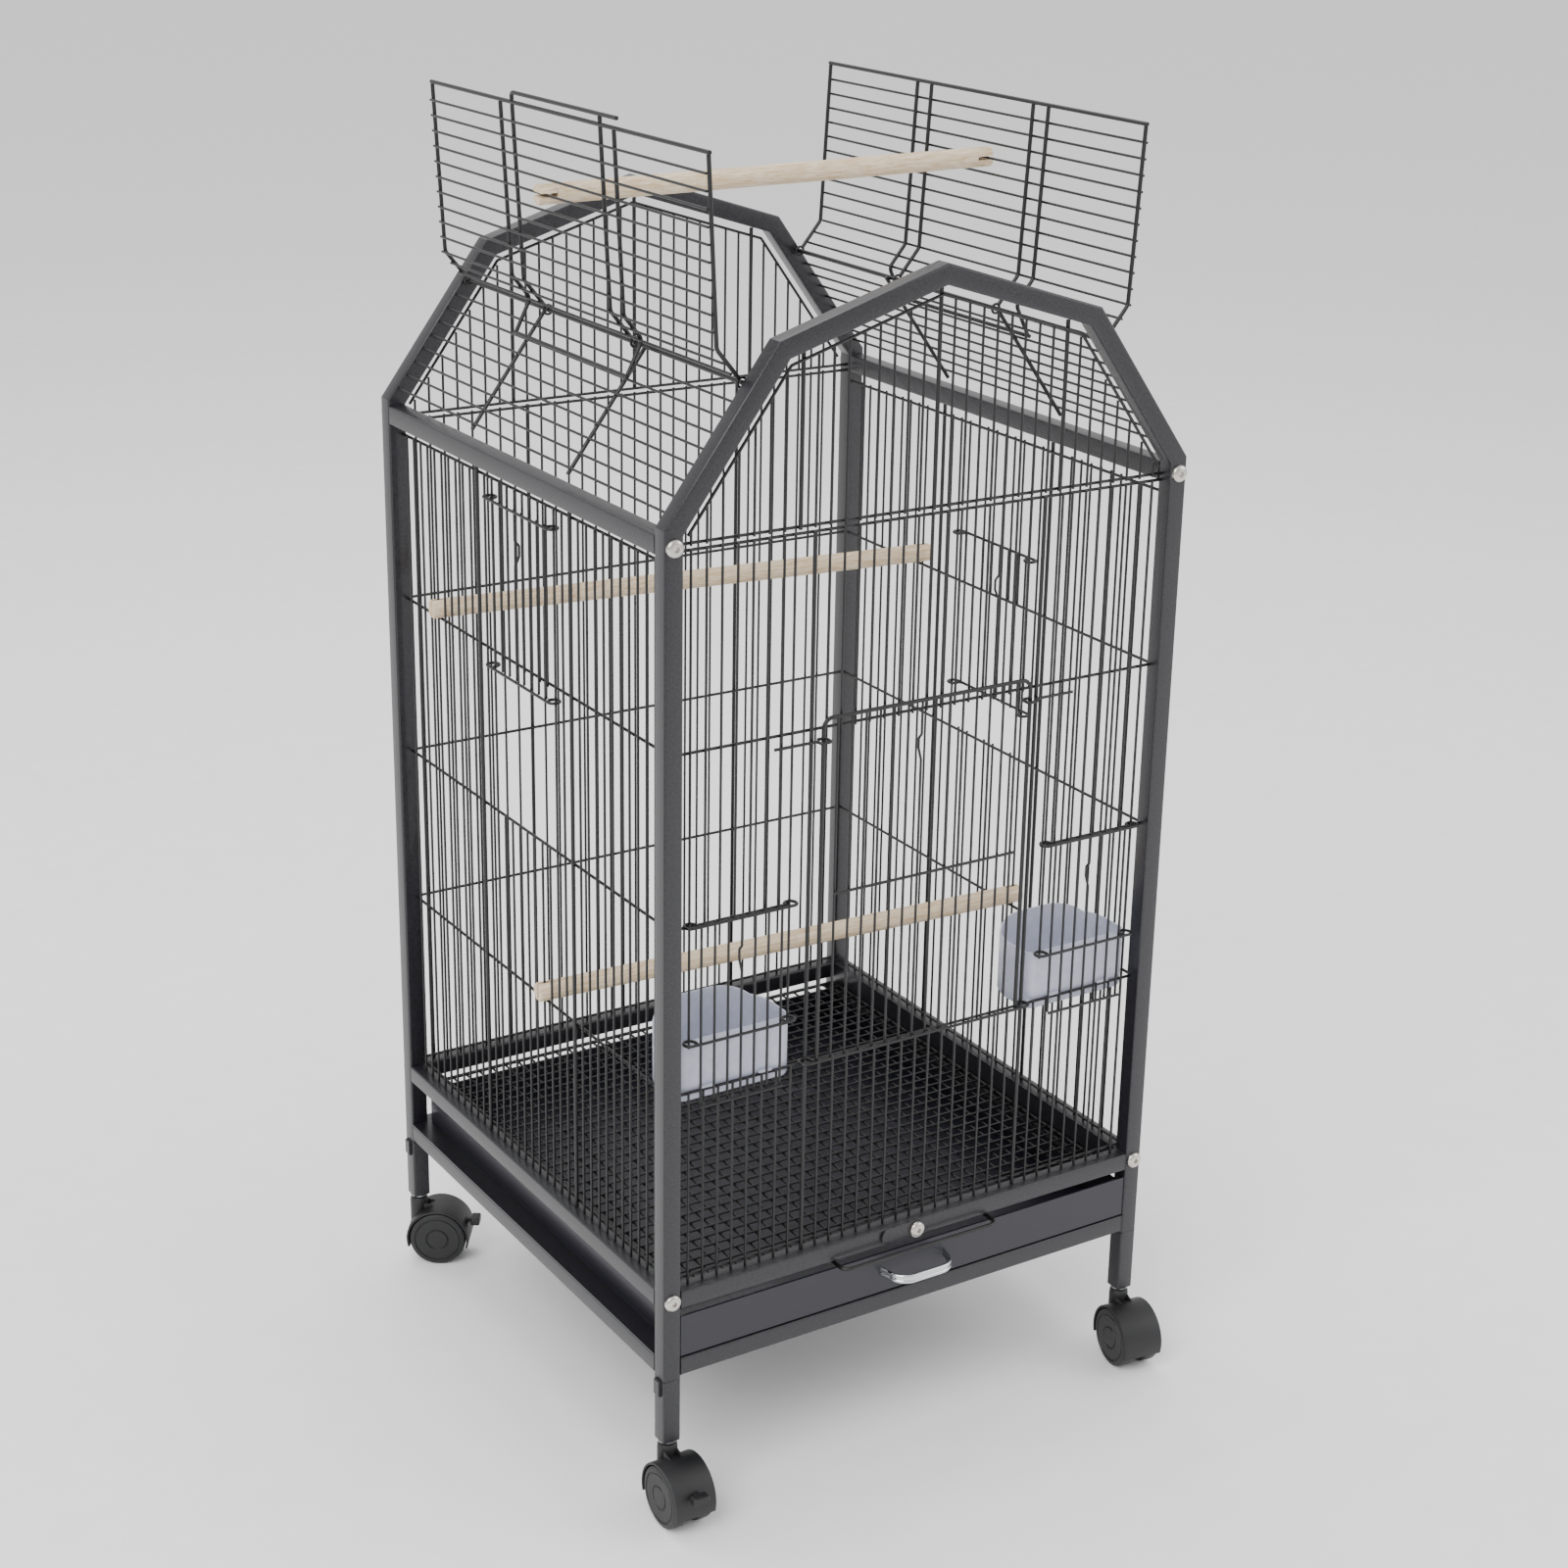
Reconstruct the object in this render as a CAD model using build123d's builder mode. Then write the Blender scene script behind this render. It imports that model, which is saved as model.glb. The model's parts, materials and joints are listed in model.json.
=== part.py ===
"""Play-top bird cage on a castor stand, in millimetres, +Z up.

The origin is on the floor under the middle of the cage. -Y is the front, with
the main door, the feeder doors and the tray. The roof doors stand open.
"""

from build123d import *
from math import atan2, cos, radians, sin
import os

# ------------------------------------------------------------ driving sizes

cage_width = 458.0
cage_depth = 464.0
tube = 15.0
tube_wall = 1.0
weld_gap = 0.05

eave_height = 788.0
knee_height = 910.0
knee_reach = 139.0
peak_height = 953.0
post_foot = 118.0
leg_foot = 63.0
spigot_length = 32.0
spigot_clearance = 0.2

lower_rail_bottom = 120.0
upper_rail_bottom = 178.0
eave_rail_top = 783.0

thin_wire = 1.0
level_wire = 1.2
thick_wire = 1.6
rod_radius = 1.8
wire_pitch = 12.7
wall_end_margin = 8.0
wall_inset = 9.0

foot_level = 198.0
low_level = 352.0
mid_level = 486.0
high_level = 620.0
side_top_level = 759.0
front_top_level = 769.0
gable_foot_level = 774.0
gable_margin = 7.0

door_gap = 0.4
door_margin = 8.2
eye_gap = 0.7

main_guide_index = 8
main_door_middle = 490.5
main_door_top = 629.0
main_door_wires = 14
main_door_corner = 8.0
main_keeper_level = 612.0
main_keeper_run = 33.0
main_keeper_radius = 4.6

cup_guide_inner = 118.0
cup_guide_outer = 203.2
cup_guide_foot = 390.0
cup_door_bottom = 343.0
cup_door_middle = 394.5
cup_door_wires = 7

side_guide_index = 4
side_door_height = 135.0
side_door_wires = 8
left_door_bottom = 611.0
right_door_bottom = 525.0

catch_offset = 3.6
catch_drop = 28.0
catch_height = 16.0

hinge_run = 116.6
hinge_depth = 3.0
door_knee_run = 32.0
door_reach = 131.0
door_open_angle = 76.0
door_side_gap = 3.0
door_long_rows = 11
door_short_rows = 3
near_pair = (62.0, 82.0)
far_pair = (75.0, 94.5)
stop_length = 25.0
stop_lift = 8.0
stop_clearance = 0.5
lip_rise = 5.7
lip_overrun = 25.0
wire_bend = 7.0
slope_rows = 8
slope_wire_near = 72.0
slope_wire_far = 85.0

perch_radius = 7.75
perch_overhang = 6.0
perch_slot_depth = 14.0
perch_slot_clearance = 0.5
perch_chamfer = 0.8
upper_perch_ends = (12, 8)
lower_perch_ends = (-2, -4)
top_perch_rows = (6, 7)
top_perch_ends = (28.0, -13.0)
top_perch_overhang = 5.0

cup_width = 100.0
cup_depth = 62.0
cup_bottom = 343.5
cup_front_height = 50.0
cup_back_height = 58.0
cup_wall = 2.0
cup_clearance = 0.35
cup_corner = 9.0
cup_tab_width = 12.0
cup_tab_thickness = 2.0

tray_wall = 1.0
tray_height = 31.0
tray_front_height = 34.5
tray_side_clearance = 2.5
runner_thickness = 1.2
runner_width = 33.0
running_gap = 0.3
handle_length = 70.0
handle_reach = 22.0
handle_bar = 1.6
handle_bar_spacing = 4.4
handle_height = 155.0

grate_edge_wire = 1.6
grate_rear_gap = 2.0
grate_pull_width = 146.4
grate_pull_reach = 11.0
ledge_level = 171.2
ledge_width = 14.0

bolt_shank = 3.0
bolt_head = 6.8
bolt_head_height = 3.6
bolt_length = 26.0
bolt_socket = 4.0
bolt_clearance = 0.05
upper_bolt_height = 775.5
lower_bolt_height = 186.0

latch_length = 40.0
latch_width = 15.0
latch_thickness = 2.0
latch_gap = 0.3

wheel_radius = 25.0
wheel_width = 13.0
wheel_spacing = 4.6
wheel_cap = 2.0
wheel_edge = 1.5
hood_foot = 17.0
caster_trail = 18.0
hood_clearance = 0.8
hood_wall = 2.0
hood_web = 3.8
boss_radius = 8.0
boss_top = 60.0
stem_radius = 4.0
stem_top = 77.0
stem_foot = 44.0
washer_radius = 7.5
washer_thickness = 1.0
axle_radius = 3.0
axle_clearance = 0.05
brake_pivot_x = 40.0
brake_pivot_z = 37.0
brake_pin = 1.25
brake_blade = 4.0
brake_slot = (14.0, 5.4, 13.0)
brake_tread = (7.5, 14.0, 7.0)
axle_end_gap = 0.3

# ------------------------------------------------------------ derived places

half_width = cage_width / 2
half_depth = cage_depth / 2
inner_width = half_width - tube
inner_depth = half_depth - tube
wires_across = int((inner_width - wall_end_margin) / wire_pitch)
wires_along = int((inner_depth - wall_end_margin) / wire_pitch)
wall_x = half_width - wall_inset
wall_y = half_depth - wall_inset
level_offset = -(thick_wire + level_wire + weld_gap)
door_plane = thick_wire + door_gap + thick_wire
bar_plane = door_plane + thick_wire + level_wire + weld_gap
eye_bend_allowance = 0.2
main_door_bottom = low_level + 2 * level_wire + weld_gap
cup_door_top = mid_level + 2 * level_wire + weld_gap
upper_rail_top = upper_rail_bottom + tube
lower_rail_top = lower_rail_bottom + tube
eave_rail_bottom = eave_rail_top - tube
main_guide = main_guide_index * wire_pitch
side_guide = side_guide_index * wire_pitch
tray_bottom = lower_rail_top + runner_thickness + running_gap
grate_half = inner_width - tray_side_clearance
grate_front = -half_depth + tube / 2
grate_back = inner_depth - grate_rear_gap
grate_level = ledge_level + runner_thickness + running_gap + grate_edge_wire

front_wall_plane = Plane(origin=(0, -wall_y, 0), x_dir=(1, 0, 0), z_dir=(0, -1, 0))
back_wall_plane = Plane(origin=(0, wall_y, 0), x_dir=(-1, 0, 0), z_dir=(0, 1, 0))
left_wall_plane = Plane(origin=(-wall_x, 0, 0), x_dir=(0, -1, 0), z_dir=(-1, 0, 0))
right_wall_plane = Plane(origin=(wall_x, 0, 0), x_dir=(0, 1, 0), z_dir=(1, 0, 0))

gable_line = [
    (-half_width, post_foot),
    (-half_width, eave_height),
    (-knee_reach, knee_height),
    (0, peak_height),
    (knee_reach, knee_height),
    (half_width, eave_height),
    (half_width, post_foot),
]

corner_posts = {
    "front_left": (-(half_width - tube / 2), -(half_depth - tube / 2), -90.0, True),
    "front_right": (half_width - tube / 2, -(half_depth - tube / 2), -98.0, False),
    "back_left": (-(half_width - tube / 2), half_depth - tube / 2, -34.0, True),
    "back_right": (half_width - tube / 2, half_depth - tube / 2, 60.0, False),
}

# ------------------------------------------------------------ helpers


def save(part, name):
    """Labels a finished piece and writes it as its own STEP file."""
    part.label = name
    export_step(part, f"parts/{name}.step")


def inset(line, depth):
    """Offsets an open outline to its inner side by depth, with mitred corners."""
    points = [Vector(*p) for p in line]
    runs = [(b - a).normalized() for a, b in zip(points, points[1:])]
    normals = [Vector(run.Y, -run.X) for run in runs]
    moved = [points[0] + normals[0] * depth]
    for corner, first, second in zip(points[1:-1], normals, normals[1:]):
        bisector = (first + second).normalized()
        moved.append(corner + bisector * (depth / bisector.dot(first)))
    moved.append(points[-1] + normals[-1] * depth)
    return moved


def outline_height(x, depth):
    """Height of the gable's inner outline at x, where the outline is inset by depth."""
    line = inset(gable_line, depth)
    for a, b in zip(line[1:-1], line[2:-1]):
        if a.X <= x <= b.X:
            return a.Y + (b.Y - a.Y) * (x - a.X) / (b.X - a.X)
    raise ValueError("x lies outside the gable")


def wire(start, end, radius):
    """Adds one straight round wire to the open part."""
    start = Vector(*start)
    run = Vector(*end) - start
    with BuildSketch(Plane(origin=start, z_dir=run)) as section:
        Circle(radius)
    extrude(section.sketch, amount=run.length)


def bent_wire(points, radius, bend):
    """Adds one wire bent round its corners to the open part."""
    with BuildLine() as path:
        FilletPolyline(*points, radius=bend)
    with BuildSketch(Plane(origin=path.line @ 0, z_dir=path.line % 0)) as section:
        Circle(radius)
    sweep(section.sketch, path=path.line)


def uprights(wall, places, bottom, top, radius, offset=0.0):
    """Adds a row of upright wires to a wall, at places along it."""
    origin = wall.from_local_coords(Vector(0, bottom, offset))
    with BuildSketch(Plane(origin=origin, x_dir=wall.x_dir, z_dir=(0, 0, 1))) as row:
        with Locations(*[(place, 0) for place in places]):
            Circle(radius)
    extrude(row.sketch, amount=top - bottom)


def levels(wall, start, end, heights, radius, offset):
    """Adds level wires to a wall, from start to end along it."""
    origin = wall.from_local_coords(Vector(start, 0, offset))
    with BuildSketch(Plane(origin=origin, x_dir=(0, 0, 1), z_dir=wall.x_dir)) as row:
        with Locations(*[(height, 0) for height in heights]):
            Circle(radius)
    extrude(row.sketch, amount=end - start)


def on_wall(wall, along, height, offset):
    """Turns a place on a wall into a point of the cage."""
    return wall.from_local_coords(Vector(along, height, offset))


def wire_places(half_span, skipped=()):
    """Places of the wall's thin wires, without the skipped grid lines."""
    return [
        k * wire_pitch
        for k in range(-half_span, half_span + 1)
        if k not in skipped
    ]


def square_tube(size_x, size_y, size_z, along):
    """Adds a hollow square tube, open at both ends along the named axis."""
    Box(size_x, size_y, size_z)
    bore = {"X": size_x, "Y": size_y, "Z": size_z}
    for axis in bore:
        if axis != along:
            bore[axis] -= 2 * tube_wall
    Box(bore["X"], bore["Y"], bore["Z"], mode=Mode.SUBTRACT)


# ------------------------------------------------------------ welded end frames


def end_frame(front):
    """One welded end frame: posts, gable tubes and two cross rails."""
    face_y = -half_depth if front else half_depth - tube
    bolt_points = [
        (side * (half_width - tube / 2), height)
        for side in (-1, 1)
        for height in (upper_bolt_height, lower_bolt_height)
    ]
    if front:
        bolt_points.append((0, lower_bolt_height))
    outer = inset(gable_line, 0)
    inner = inset(gable_line, tube)
    bore_outer = inset(gable_line, tube_wall)
    bore_inner = inset(gable_line, tube - tube_wall)
    with BuildPart() as frame:
        for i in range(len(gable_line) - 1):
            run = (outer[i + 1] - outer[i]).normalized() * weld_gap
            with BuildSketch(Plane.XZ.offset(-face_y)) as section:
                with BuildLine():
                    Polyline(
                        outer[i] + run,
                        outer[i + 1] - run,
                        inner[i + 1] - run,
                        inner[i] + run,
                        close=True,
                    )
                make_face()
            extrude(section.sketch, amount=-tube)
            with BuildSketch(Plane.XZ.offset(-face_y - tube_wall)) as bore:
                with BuildLine():
                    Polyline(
                        bore_outer[i],
                        bore_outer[i + 1],
                        bore_inner[i + 1],
                        bore_inner[i],
                        close=True,
                    )
                make_face()
            extrude(bore.sketch, amount=-(tube - 2 * tube_wall), mode=Mode.SUBTRACT)
        for rail_bottom in (lower_rail_bottom, upper_rail_bottom):
            with Locations((0, face_y + tube / 2, rail_bottom + tube / 2)):
                square_tube(2 * (inner_width - weld_gap), tube, tube, "X")
        for x, height in bolt_points:
            with Locations(Location((x, face_y + tube / 2, height), (90, 0, 0))):
                Cylinder(bolt_shank + bolt_clearance, 2 * tube, mode=Mode.SUBTRACT)
    return frame.part


# ------------------------------------------------------------ side rails and base


def side_rails(side):
    """Eave rail and two base rails between the end frames, on one side."""
    with BuildPart() as rails:
        for bottom in (eave_rail_bottom, upper_rail_bottom, lower_rail_bottom):
            with Locations((side * (half_width - tube / 2), 0, bottom + tube / 2)):
                square_tube(tube, 2 * inner_depth, tube, "Y")
    return rails.part


def tray_runners():
    """Flat strips on the lower side rails, which carry the tray."""
    with BuildPart() as runners:
        for side in (-1, 1):
            x = side * (half_width - runner_width / 2)
            with Locations((x, 0, lower_rail_top + runner_thickness / 2)):
                Box(runner_width, 2 * inner_depth, runner_thickness)
    return runners.part


def grate_ledges():
    """Angle strips on the inner faces of the upper side rails, which carry the grate."""
    rise = upper_rail_top - ledge_level
    with BuildPart() as ledges:
        for side in (-1, 1):
            web_x = side * (inner_width - runner_thickness / 2)
            with Locations((web_x, 0, ledge_level + rise / 2)):
                Box(runner_thickness, 2 * inner_depth, rise)
            with Locations((side * (inner_width - ledge_width / 2), 0, ledge_level)):
                Box(
                    ledge_width,
                    2 * inner_depth,
                    runner_thickness,
                    align=(Align.CENTER, Align.CENTER, Align.MIN),
                )
    return ledges.part


def legs():
    """Four plug-in legs, each with a spigot that slides up into its post."""
    spigot = tube - 2 * tube_wall - 2 * spigot_clearance
    leg_length = post_foot - leg_foot - weld_gap
    with BuildPart() as group:
        for x, y, _, _ in corner_posts.values():
            with Locations((x, y, leg_foot)):
                Box(tube, tube, leg_length, align=(Align.CENTER, Align.CENTER, Align.MIN))
                Box(
                    spigot,
                    spigot,
                    leg_length + spigot_length,
                    align=(Align.CENTER, Align.CENTER, Align.MIN),
                )
                Box(
                    spigot - 2 * tube_wall,
                    spigot - 2 * tube_wall,
                    leg_length + spigot_length,
                    align=(Align.CENTER, Align.CENTER, Align.MIN),
                    mode=Mode.SUBTRACT,
                )
    return group.part


def leg_plugs():
    """Plastic plugs in the leg ends, bored for the castor stems."""
    bore = tube - 4 * tube_wall - 2 * spigot_clearance
    plug = bore - 2 * spigot_clearance
    length = stem_top - leg_foot
    with BuildPart() as plugs:
        for x, y, _, _ in corner_posts.values():
            with Locations((x, y, leg_foot)):
                Box(plug, plug, length, align=(Align.CENTER, Align.CENTER, Align.MIN))
                Cylinder(
                    stem_radius + axle_clearance,
                    length,
                    align=(Align.CENTER, Align.CENTER, Align.MIN),
                    mode=Mode.SUBTRACT,
                )
    return plugs.part


def leg_clips():
    """Spring clips on the legs' outer faces, which lock the leg joints."""
    clip_height = 14.0
    clip_width = 7.0
    clip_thickness = 2.6
    with BuildPart() as clips:
        for x, y, _, _ in corner_posts.values():
            side = 1 if x > 0 else -1
            centre = side * (half_width + clip_thickness / 2)
            with Locations((centre, y, post_foot - clip_height)):
                Box(
                    clip_thickness,
                    clip_width,
                    clip_height,
                    align=(Align.CENTER, Align.CENTER, Align.MIN),
                )
        outer_edges = clips.edges().filter_by(Axis.Y)
        chamfer(outer_edges.group_by(Axis.X)[0] + outer_edges.group_by(Axis.X)[-1], 1.0)
    return clips.part


# ------------------------------------------------------------ bolts and latch


def button_bolt(x, y, height, facing):
    """Adds one button-head socket bolt, its head outwards along -Y or +Y."""
    turn = 90 if facing < 0 else -90
    with Locations(Location((x, y, height), (turn, 0, 0))):
        Cylinder(
            bolt_head,
            bolt_head_height,
            align=(Align.CENTER, Align.CENTER, Align.MIN),
        )
        Cylinder(
            bolt_shank,
            bolt_length,
            align=(Align.CENTER, Align.CENTER, Align.MAX),
        )
    socket_place = Location((x, y + facing * bolt_head_height, height), (turn, 0, 0))
    with BuildSketch(Plane(socket_place)) as socket:
        RegularPolygon(bolt_socket / 2, 6)
    extrude(socket.sketch, amount=-bolt_head_height / 2, mode=Mode.SUBTRACT)


def frame_bolts():
    """The eight bolts that pull the end frames against the side rails."""
    with BuildPart() as bolts:
        for facing in (-1, 1):
            for side in (-1, 1):
                for height in (upper_bolt_height, lower_bolt_height):
                    x = side * (half_width - tube / 2)
                    button_bolt(x, facing * half_depth, height, facing)
        rims = bolts.edges().filter_by(GeomType.CIRCLE)
        head_rims = rims.filter_by(lambda e: abs(e.radius - bolt_head) < weld_gap)
        outer_rims = head_rims.filter_by(
            lambda e: abs(abs(e.center().Y) - half_depth - bolt_head_height) < weld_gap
        )
        fillet(outer_rims, bolt_head_height / 2)
    return bolts.part


def latch_bolt():
    """The pivot bolt of the tray latch."""
    face = -half_depth - latch_gap - latch_thickness - latch_gap
    with BuildPart() as bolt:
        button_bolt(0, face, lower_bolt_height, -1)
        rims = bolt.edges().filter_by(GeomType.CIRCLE)
        fillet(rims.group_by(Axis.Y)[0], bolt_head_height / 2)
    return bolt.part


def latch_plate():
    """The swinging latch plate, turned aside along the front rail."""
    reach = latch_length - latch_width
    plane = Plane(
        origin=(0, -half_depth - latch_gap, lower_bolt_height),
        x_dir=(1, 0, 0),
        z_dir=(0, -1, 0),
    )
    with BuildPart() as plate:
        with BuildSketch(plane):
            with Locations((-reach / 2, 0)):
                SlotCenterToCenter(reach, latch_width)
            Circle(bolt_shank + bolt_clearance, mode=Mode.SUBTRACT)
        extrude(amount=latch_thickness)
    return plate.part


# ------------------------------------------------------------ wire walls


def front_wall():
    """Front wire wall, open behind the main door and the two feeder doors."""
    wall = front_wall_plane
    guide_places = [-cup_guide_outer, -cup_guide_inner, cup_guide_inner, cup_guide_outer]
    guide_index = (-main_guide_index, main_guide_index)
    outer_indices = range(main_guide_index + 2, wires_across)
    upper_places = [side * k * wire_pitch for side in (-1, 1) for k in outer_indices]
    overrun = level_wire
    with BuildPart() as panel:
        uprights(wall, [-main_guide, main_guide], upper_rail_top, front_top_level + overrun,
                 thick_wire)
        uprights(wall, wire_places(wires_across, guide_index), upper_rail_top,
                 low_level + overrun, thin_wire)
        uprights(wall, wire_places(main_guide_index - 1), high_level - overrun,
                 front_top_level + overrun, thin_wire)
        uprights(wall, upper_places, mid_level - overrun, front_top_level + overrun, thin_wire)
        uprights(wall, guide_places, cup_guide_foot, front_top_level + overrun, thin_wire)
        levels(wall, -inner_width, inner_width,
               [foot_level, low_level, high_level, front_top_level], level_wire, level_offset)
        level_start = cup_guide_inner - 2 * level_wire
        levels(wall, level_start, inner_width, [mid_level], level_wire, level_offset)
        levels(wall, -inner_width, -level_start, [mid_level], level_wire, level_offset)
    return panel.part


def back_wall():
    """Back wire wall, closed all over."""
    wall = back_wall_plane
    thick_index = (-main_guide_index, main_guide_index)
    with BuildPart() as panel:
        uprights(wall, [-main_guide, main_guide], upper_rail_top, front_top_level + level_wire,
                 thick_wire)
        uprights(wall, wire_places(wires_across, thick_index), upper_rail_top,
                 front_top_level + level_wire, thin_wire)
        levels(wall, -inner_width, inner_width,
               [foot_level, low_level, mid_level, high_level, front_top_level],
               level_wire, level_offset)
    return panel.part


def side_wall(wall):
    """Side wire wall, with an opening behind its feeder door."""
    thick_index = side_guide_index + 2
    thick = (-thick_index, thick_index)
    opening = tuple(range(-side_guide_index + 1, side_guide_index))
    overrun = level_wire
    top = side_top_level + overrun
    with BuildPart() as panel:
        uprights(wall, [k * wire_pitch for k in thick], upper_rail_top, eave_rail_bottom,
                 thick_wire)
        uprights(wall, wire_places(wires_along, thick + opening), upper_rail_top, top,
                 thin_wire)
        inner_places = [k * wire_pitch for k in opening]
        uprights(wall, inner_places, upper_rail_top, mid_level + overrun, thin_wire)
        uprights(wall, inner_places, high_level - overrun, top, thin_wire)
        levels(wall, -inner_depth, inner_depth,
               [foot_level, low_level, mid_level, high_level, side_top_level],
               level_wire, level_offset)
    return panel.part


def gable_mesh(wall):
    """Wire infill of one gable, with its perimeter wire."""
    rim_depth = tube + gable_margin
    rim = inset(gable_line, rim_depth)
    thick_indices = (-9, 0, 9)
    rim_offset = thin_wire + level_wire + weld_gap
    span = int((inner_width - gable_margin - thin_wire) / wire_pitch)
    with BuildPart() as mesh:
        for k in range(-span, span + 1):
            place = k * wire_pitch
            radius = thick_wire if k in thick_indices else thin_wire
            depth = tube if k in thick_indices else rim_depth
            top = min(outline_height(place - radius, depth), outline_height(place + radius, depth))
            uprights(wall, [place], gable_foot_level - level_wire, top - weld_gap, radius)
        levels(wall, -inner_width, inner_width, [gable_foot_level], level_wire, level_offset)
        corners = [(rim[1].X, gable_foot_level)]
        corners += [(p.X, p.Y) for p in rim[1:-1]]
        corners += [(rim[-2].X, gable_foot_level)]
        if rim[1].Y < gable_foot_level + wire_bend:
            corners = corners[1:-1]
        path = [on_wall(wall, x, z, rim_offset) for x, z in corners]
        bent_wire(path, level_wire, wire_bend / 2)
    return mesh.part


# ------------------------------------------------------------ guillotine doors


def guillotine(wall, guides, heights, count, frame_radius):
    """Adds a sliding wire door between two guides, with eyes on its end bars.

    heights are the bars' heights, from the bottom up; the first and last of the
    eyed bars wrap the guides.
    """
    inner, outer = guides
    first = inner + door_margin
    last = outer - door_margin
    step = (last - first) / (count - 1)
    places = [first + i * step for i in range(count)]
    bottom, top = heights[0], heights[-1]
    middle = places[(count - 1) // 2]
    straight = [place for place in places if place != middle]
    uprights(wall, straight, bottom, top + level_wire, frame_radius, door_plane)
    catch_wire(wall, middle, bottom, top, frame_radius)


def catch_wire(wall, along, bottom, top, radius):
    """Adds the door's middle wire, kinked under its top as a finger catch."""
    steps = [
        (door_plane, bottom),
        (door_plane, top - catch_drop - catch_height),
        (door_plane - catch_offset, top - catch_drop - catch_height / 2),
        (door_plane - catch_offset, top - catch_drop),
        (door_plane, top - catch_drop + catch_height / 4),
        (door_plane, top + level_wire),
    ]
    path = [on_wall(wall, along, height, offset) for offset, height in steps]
    bent_wire(path, radius, 2 * radius)


def eyed_bar(wall, guides, height, guide_radius):
    """Adds a level door bar, its ends bent into eyes round the two guides."""
    first, last = guides
    back = -(guide_radius + eye_gap + level_wire)
    half = (bar_plane - back) / 2
    end = bar_plane - 2 * level_wire - weld_gap
    corners = [
        (first + half, end),
        (first + half, back),
        (first - half, back),
        (first - half, bar_plane),
        (last + half, bar_plane),
        (last + half, back),
        (last - half, back),
        (last - half, end),
    ]
    path = [on_wall(wall, along, height, offset) for along, offset in corners]
    bent_wire(path, level_wire, half - eye_bend_allowance)


def main_door():
    """Main guillotine door, framed by one bent thick wire."""
    wall = front_wall_plane
    edge = main_guide - door_margin
    step = 2 * edge / (main_door_wires + 1)
    places = [-edge + (i + 1) * step for i in range(main_door_wires)]
    middle = places[(main_door_wires - 1) // 2]
    straight = [place for place in places if place != middle]
    bar_half = places[-1] + 2 * thin_wire
    with BuildPart() as door:
        hoop = [(-edge, main_door_bottom), (-edge, main_door_top), (edge, main_door_top),
                (edge, main_door_bottom)]
        bent_wire([on_wall(wall, x, z, door_plane) for x, z in hoop], thick_wire,
                  main_door_corner)
        top = main_door_top - thick_wire - weld_gap
        uprights(wall, straight, main_door_bottom, top, thin_wire, door_plane)
        catch_wire(wall, middle, main_door_bottom, top - level_wire, thin_wire)
        levels(wall, -bar_half, bar_half, [main_door_middle], level_wire, bar_plane)
        eyed_bar(wall, (-main_guide, main_guide), main_door_bottom, thick_wire)
    return door.part


def main_door_keepers():
    """Fixed wire eyes beside the main door, which keep its edges in line."""
    wall = front_wall_plane
    edge = main_guide - door_margin
    keeper_plane = thick_wire + level_wire + weld_gap
    with BuildPart() as keepers:
        for side in (-1, 1):
            back = door_plane - main_keeper_radius
            front = door_plane + main_keeper_radius
            corners = [
                (main_guide + main_keeper_run, keeper_plane),
                (edge + main_keeper_radius, keeper_plane),
                (edge + main_keeper_radius, front),
                (edge - main_keeper_radius, front),
                (edge - main_keeper_radius, back),
                (edge + main_keeper_radius / 2, back),
            ]
            path = [on_wall(wall, side * along, main_keeper_level, offset)
                    for along, offset in corners]
            bent_wire(path, level_wire, 2 * level_wire)
    return keepers.part


def cup_door(side):
    """Feeder door in a lower front corner."""
    guides = sorted((side * cup_guide_inner, side * cup_guide_outer))
    wall = front_wall_plane
    with BuildPart() as door:
        guillotine(wall, guides, (cup_door_bottom, cup_door_top), cup_door_wires, thin_wire)
        levels(wall, guides[0] + door_margin - thin_wire, guides[1] - door_margin + thin_wire,
               [cup_door_bottom], level_wire, bar_plane)
        eyed_bar(wall, guides, cup_door_middle, thin_wire)
        eyed_bar(wall, guides, cup_door_top, thin_wire)
    return door.part


def side_door(wall, bottom):
    """Feeder door on a side wall, at the height where it stands."""
    guides = (-side_guide, side_guide)
    with BuildPart() as door:
        guillotine(wall, guides, (bottom, bottom + side_door_height), side_door_wires,
                   thin_wire)
        eyed_bar(wall, guides, bottom, thin_wire)
        eyed_bar(wall, guides, bottom + side_door_height, thin_wire)
    return door.part


# ------------------------------------------------------------ roof

slope_angle = atan2(knee_height - eave_height, half_width - knee_reach)
cap_angle = atan2(peak_height - knee_height, knee_reach)
slope_up = Vector(-cos(slope_angle), 0, sin(slope_angle))
slope_out = Vector(sin(slope_angle), 0, cos(slope_angle))
eave_point = Vector(half_width, 0, eave_height)
hinge_point = eave_point + slope_up * hinge_run - slope_out * hinge_depth
door_half = inner_depth - door_side_gap - thick_wire
open_angle = radians(door_open_angle)
short_angle = radians(180) - slope_angle - open_angle
long_angle = radians(180) - cap_angle - open_angle
short_run = Vector(cos(short_angle), 0, sin(short_angle))
long_run = Vector(cos(long_angle), 0, sin(long_angle))
short_out = Vector(sin(short_angle), 0, -cos(short_angle))
long_out = Vector(sin(long_angle), 0, -cos(long_angle))
door_bend_point = hinge_point + short_run * door_knee_run
door_tip_point = door_bend_point + long_run * door_reach
row_lift = thick_wire + thin_wire + weld_gap


def mirrored(point, side, y=0.0):
    """Puts a point of the right roof half at y, on the named side."""
    return Vector(side * point.X, y, point.Z)


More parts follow.
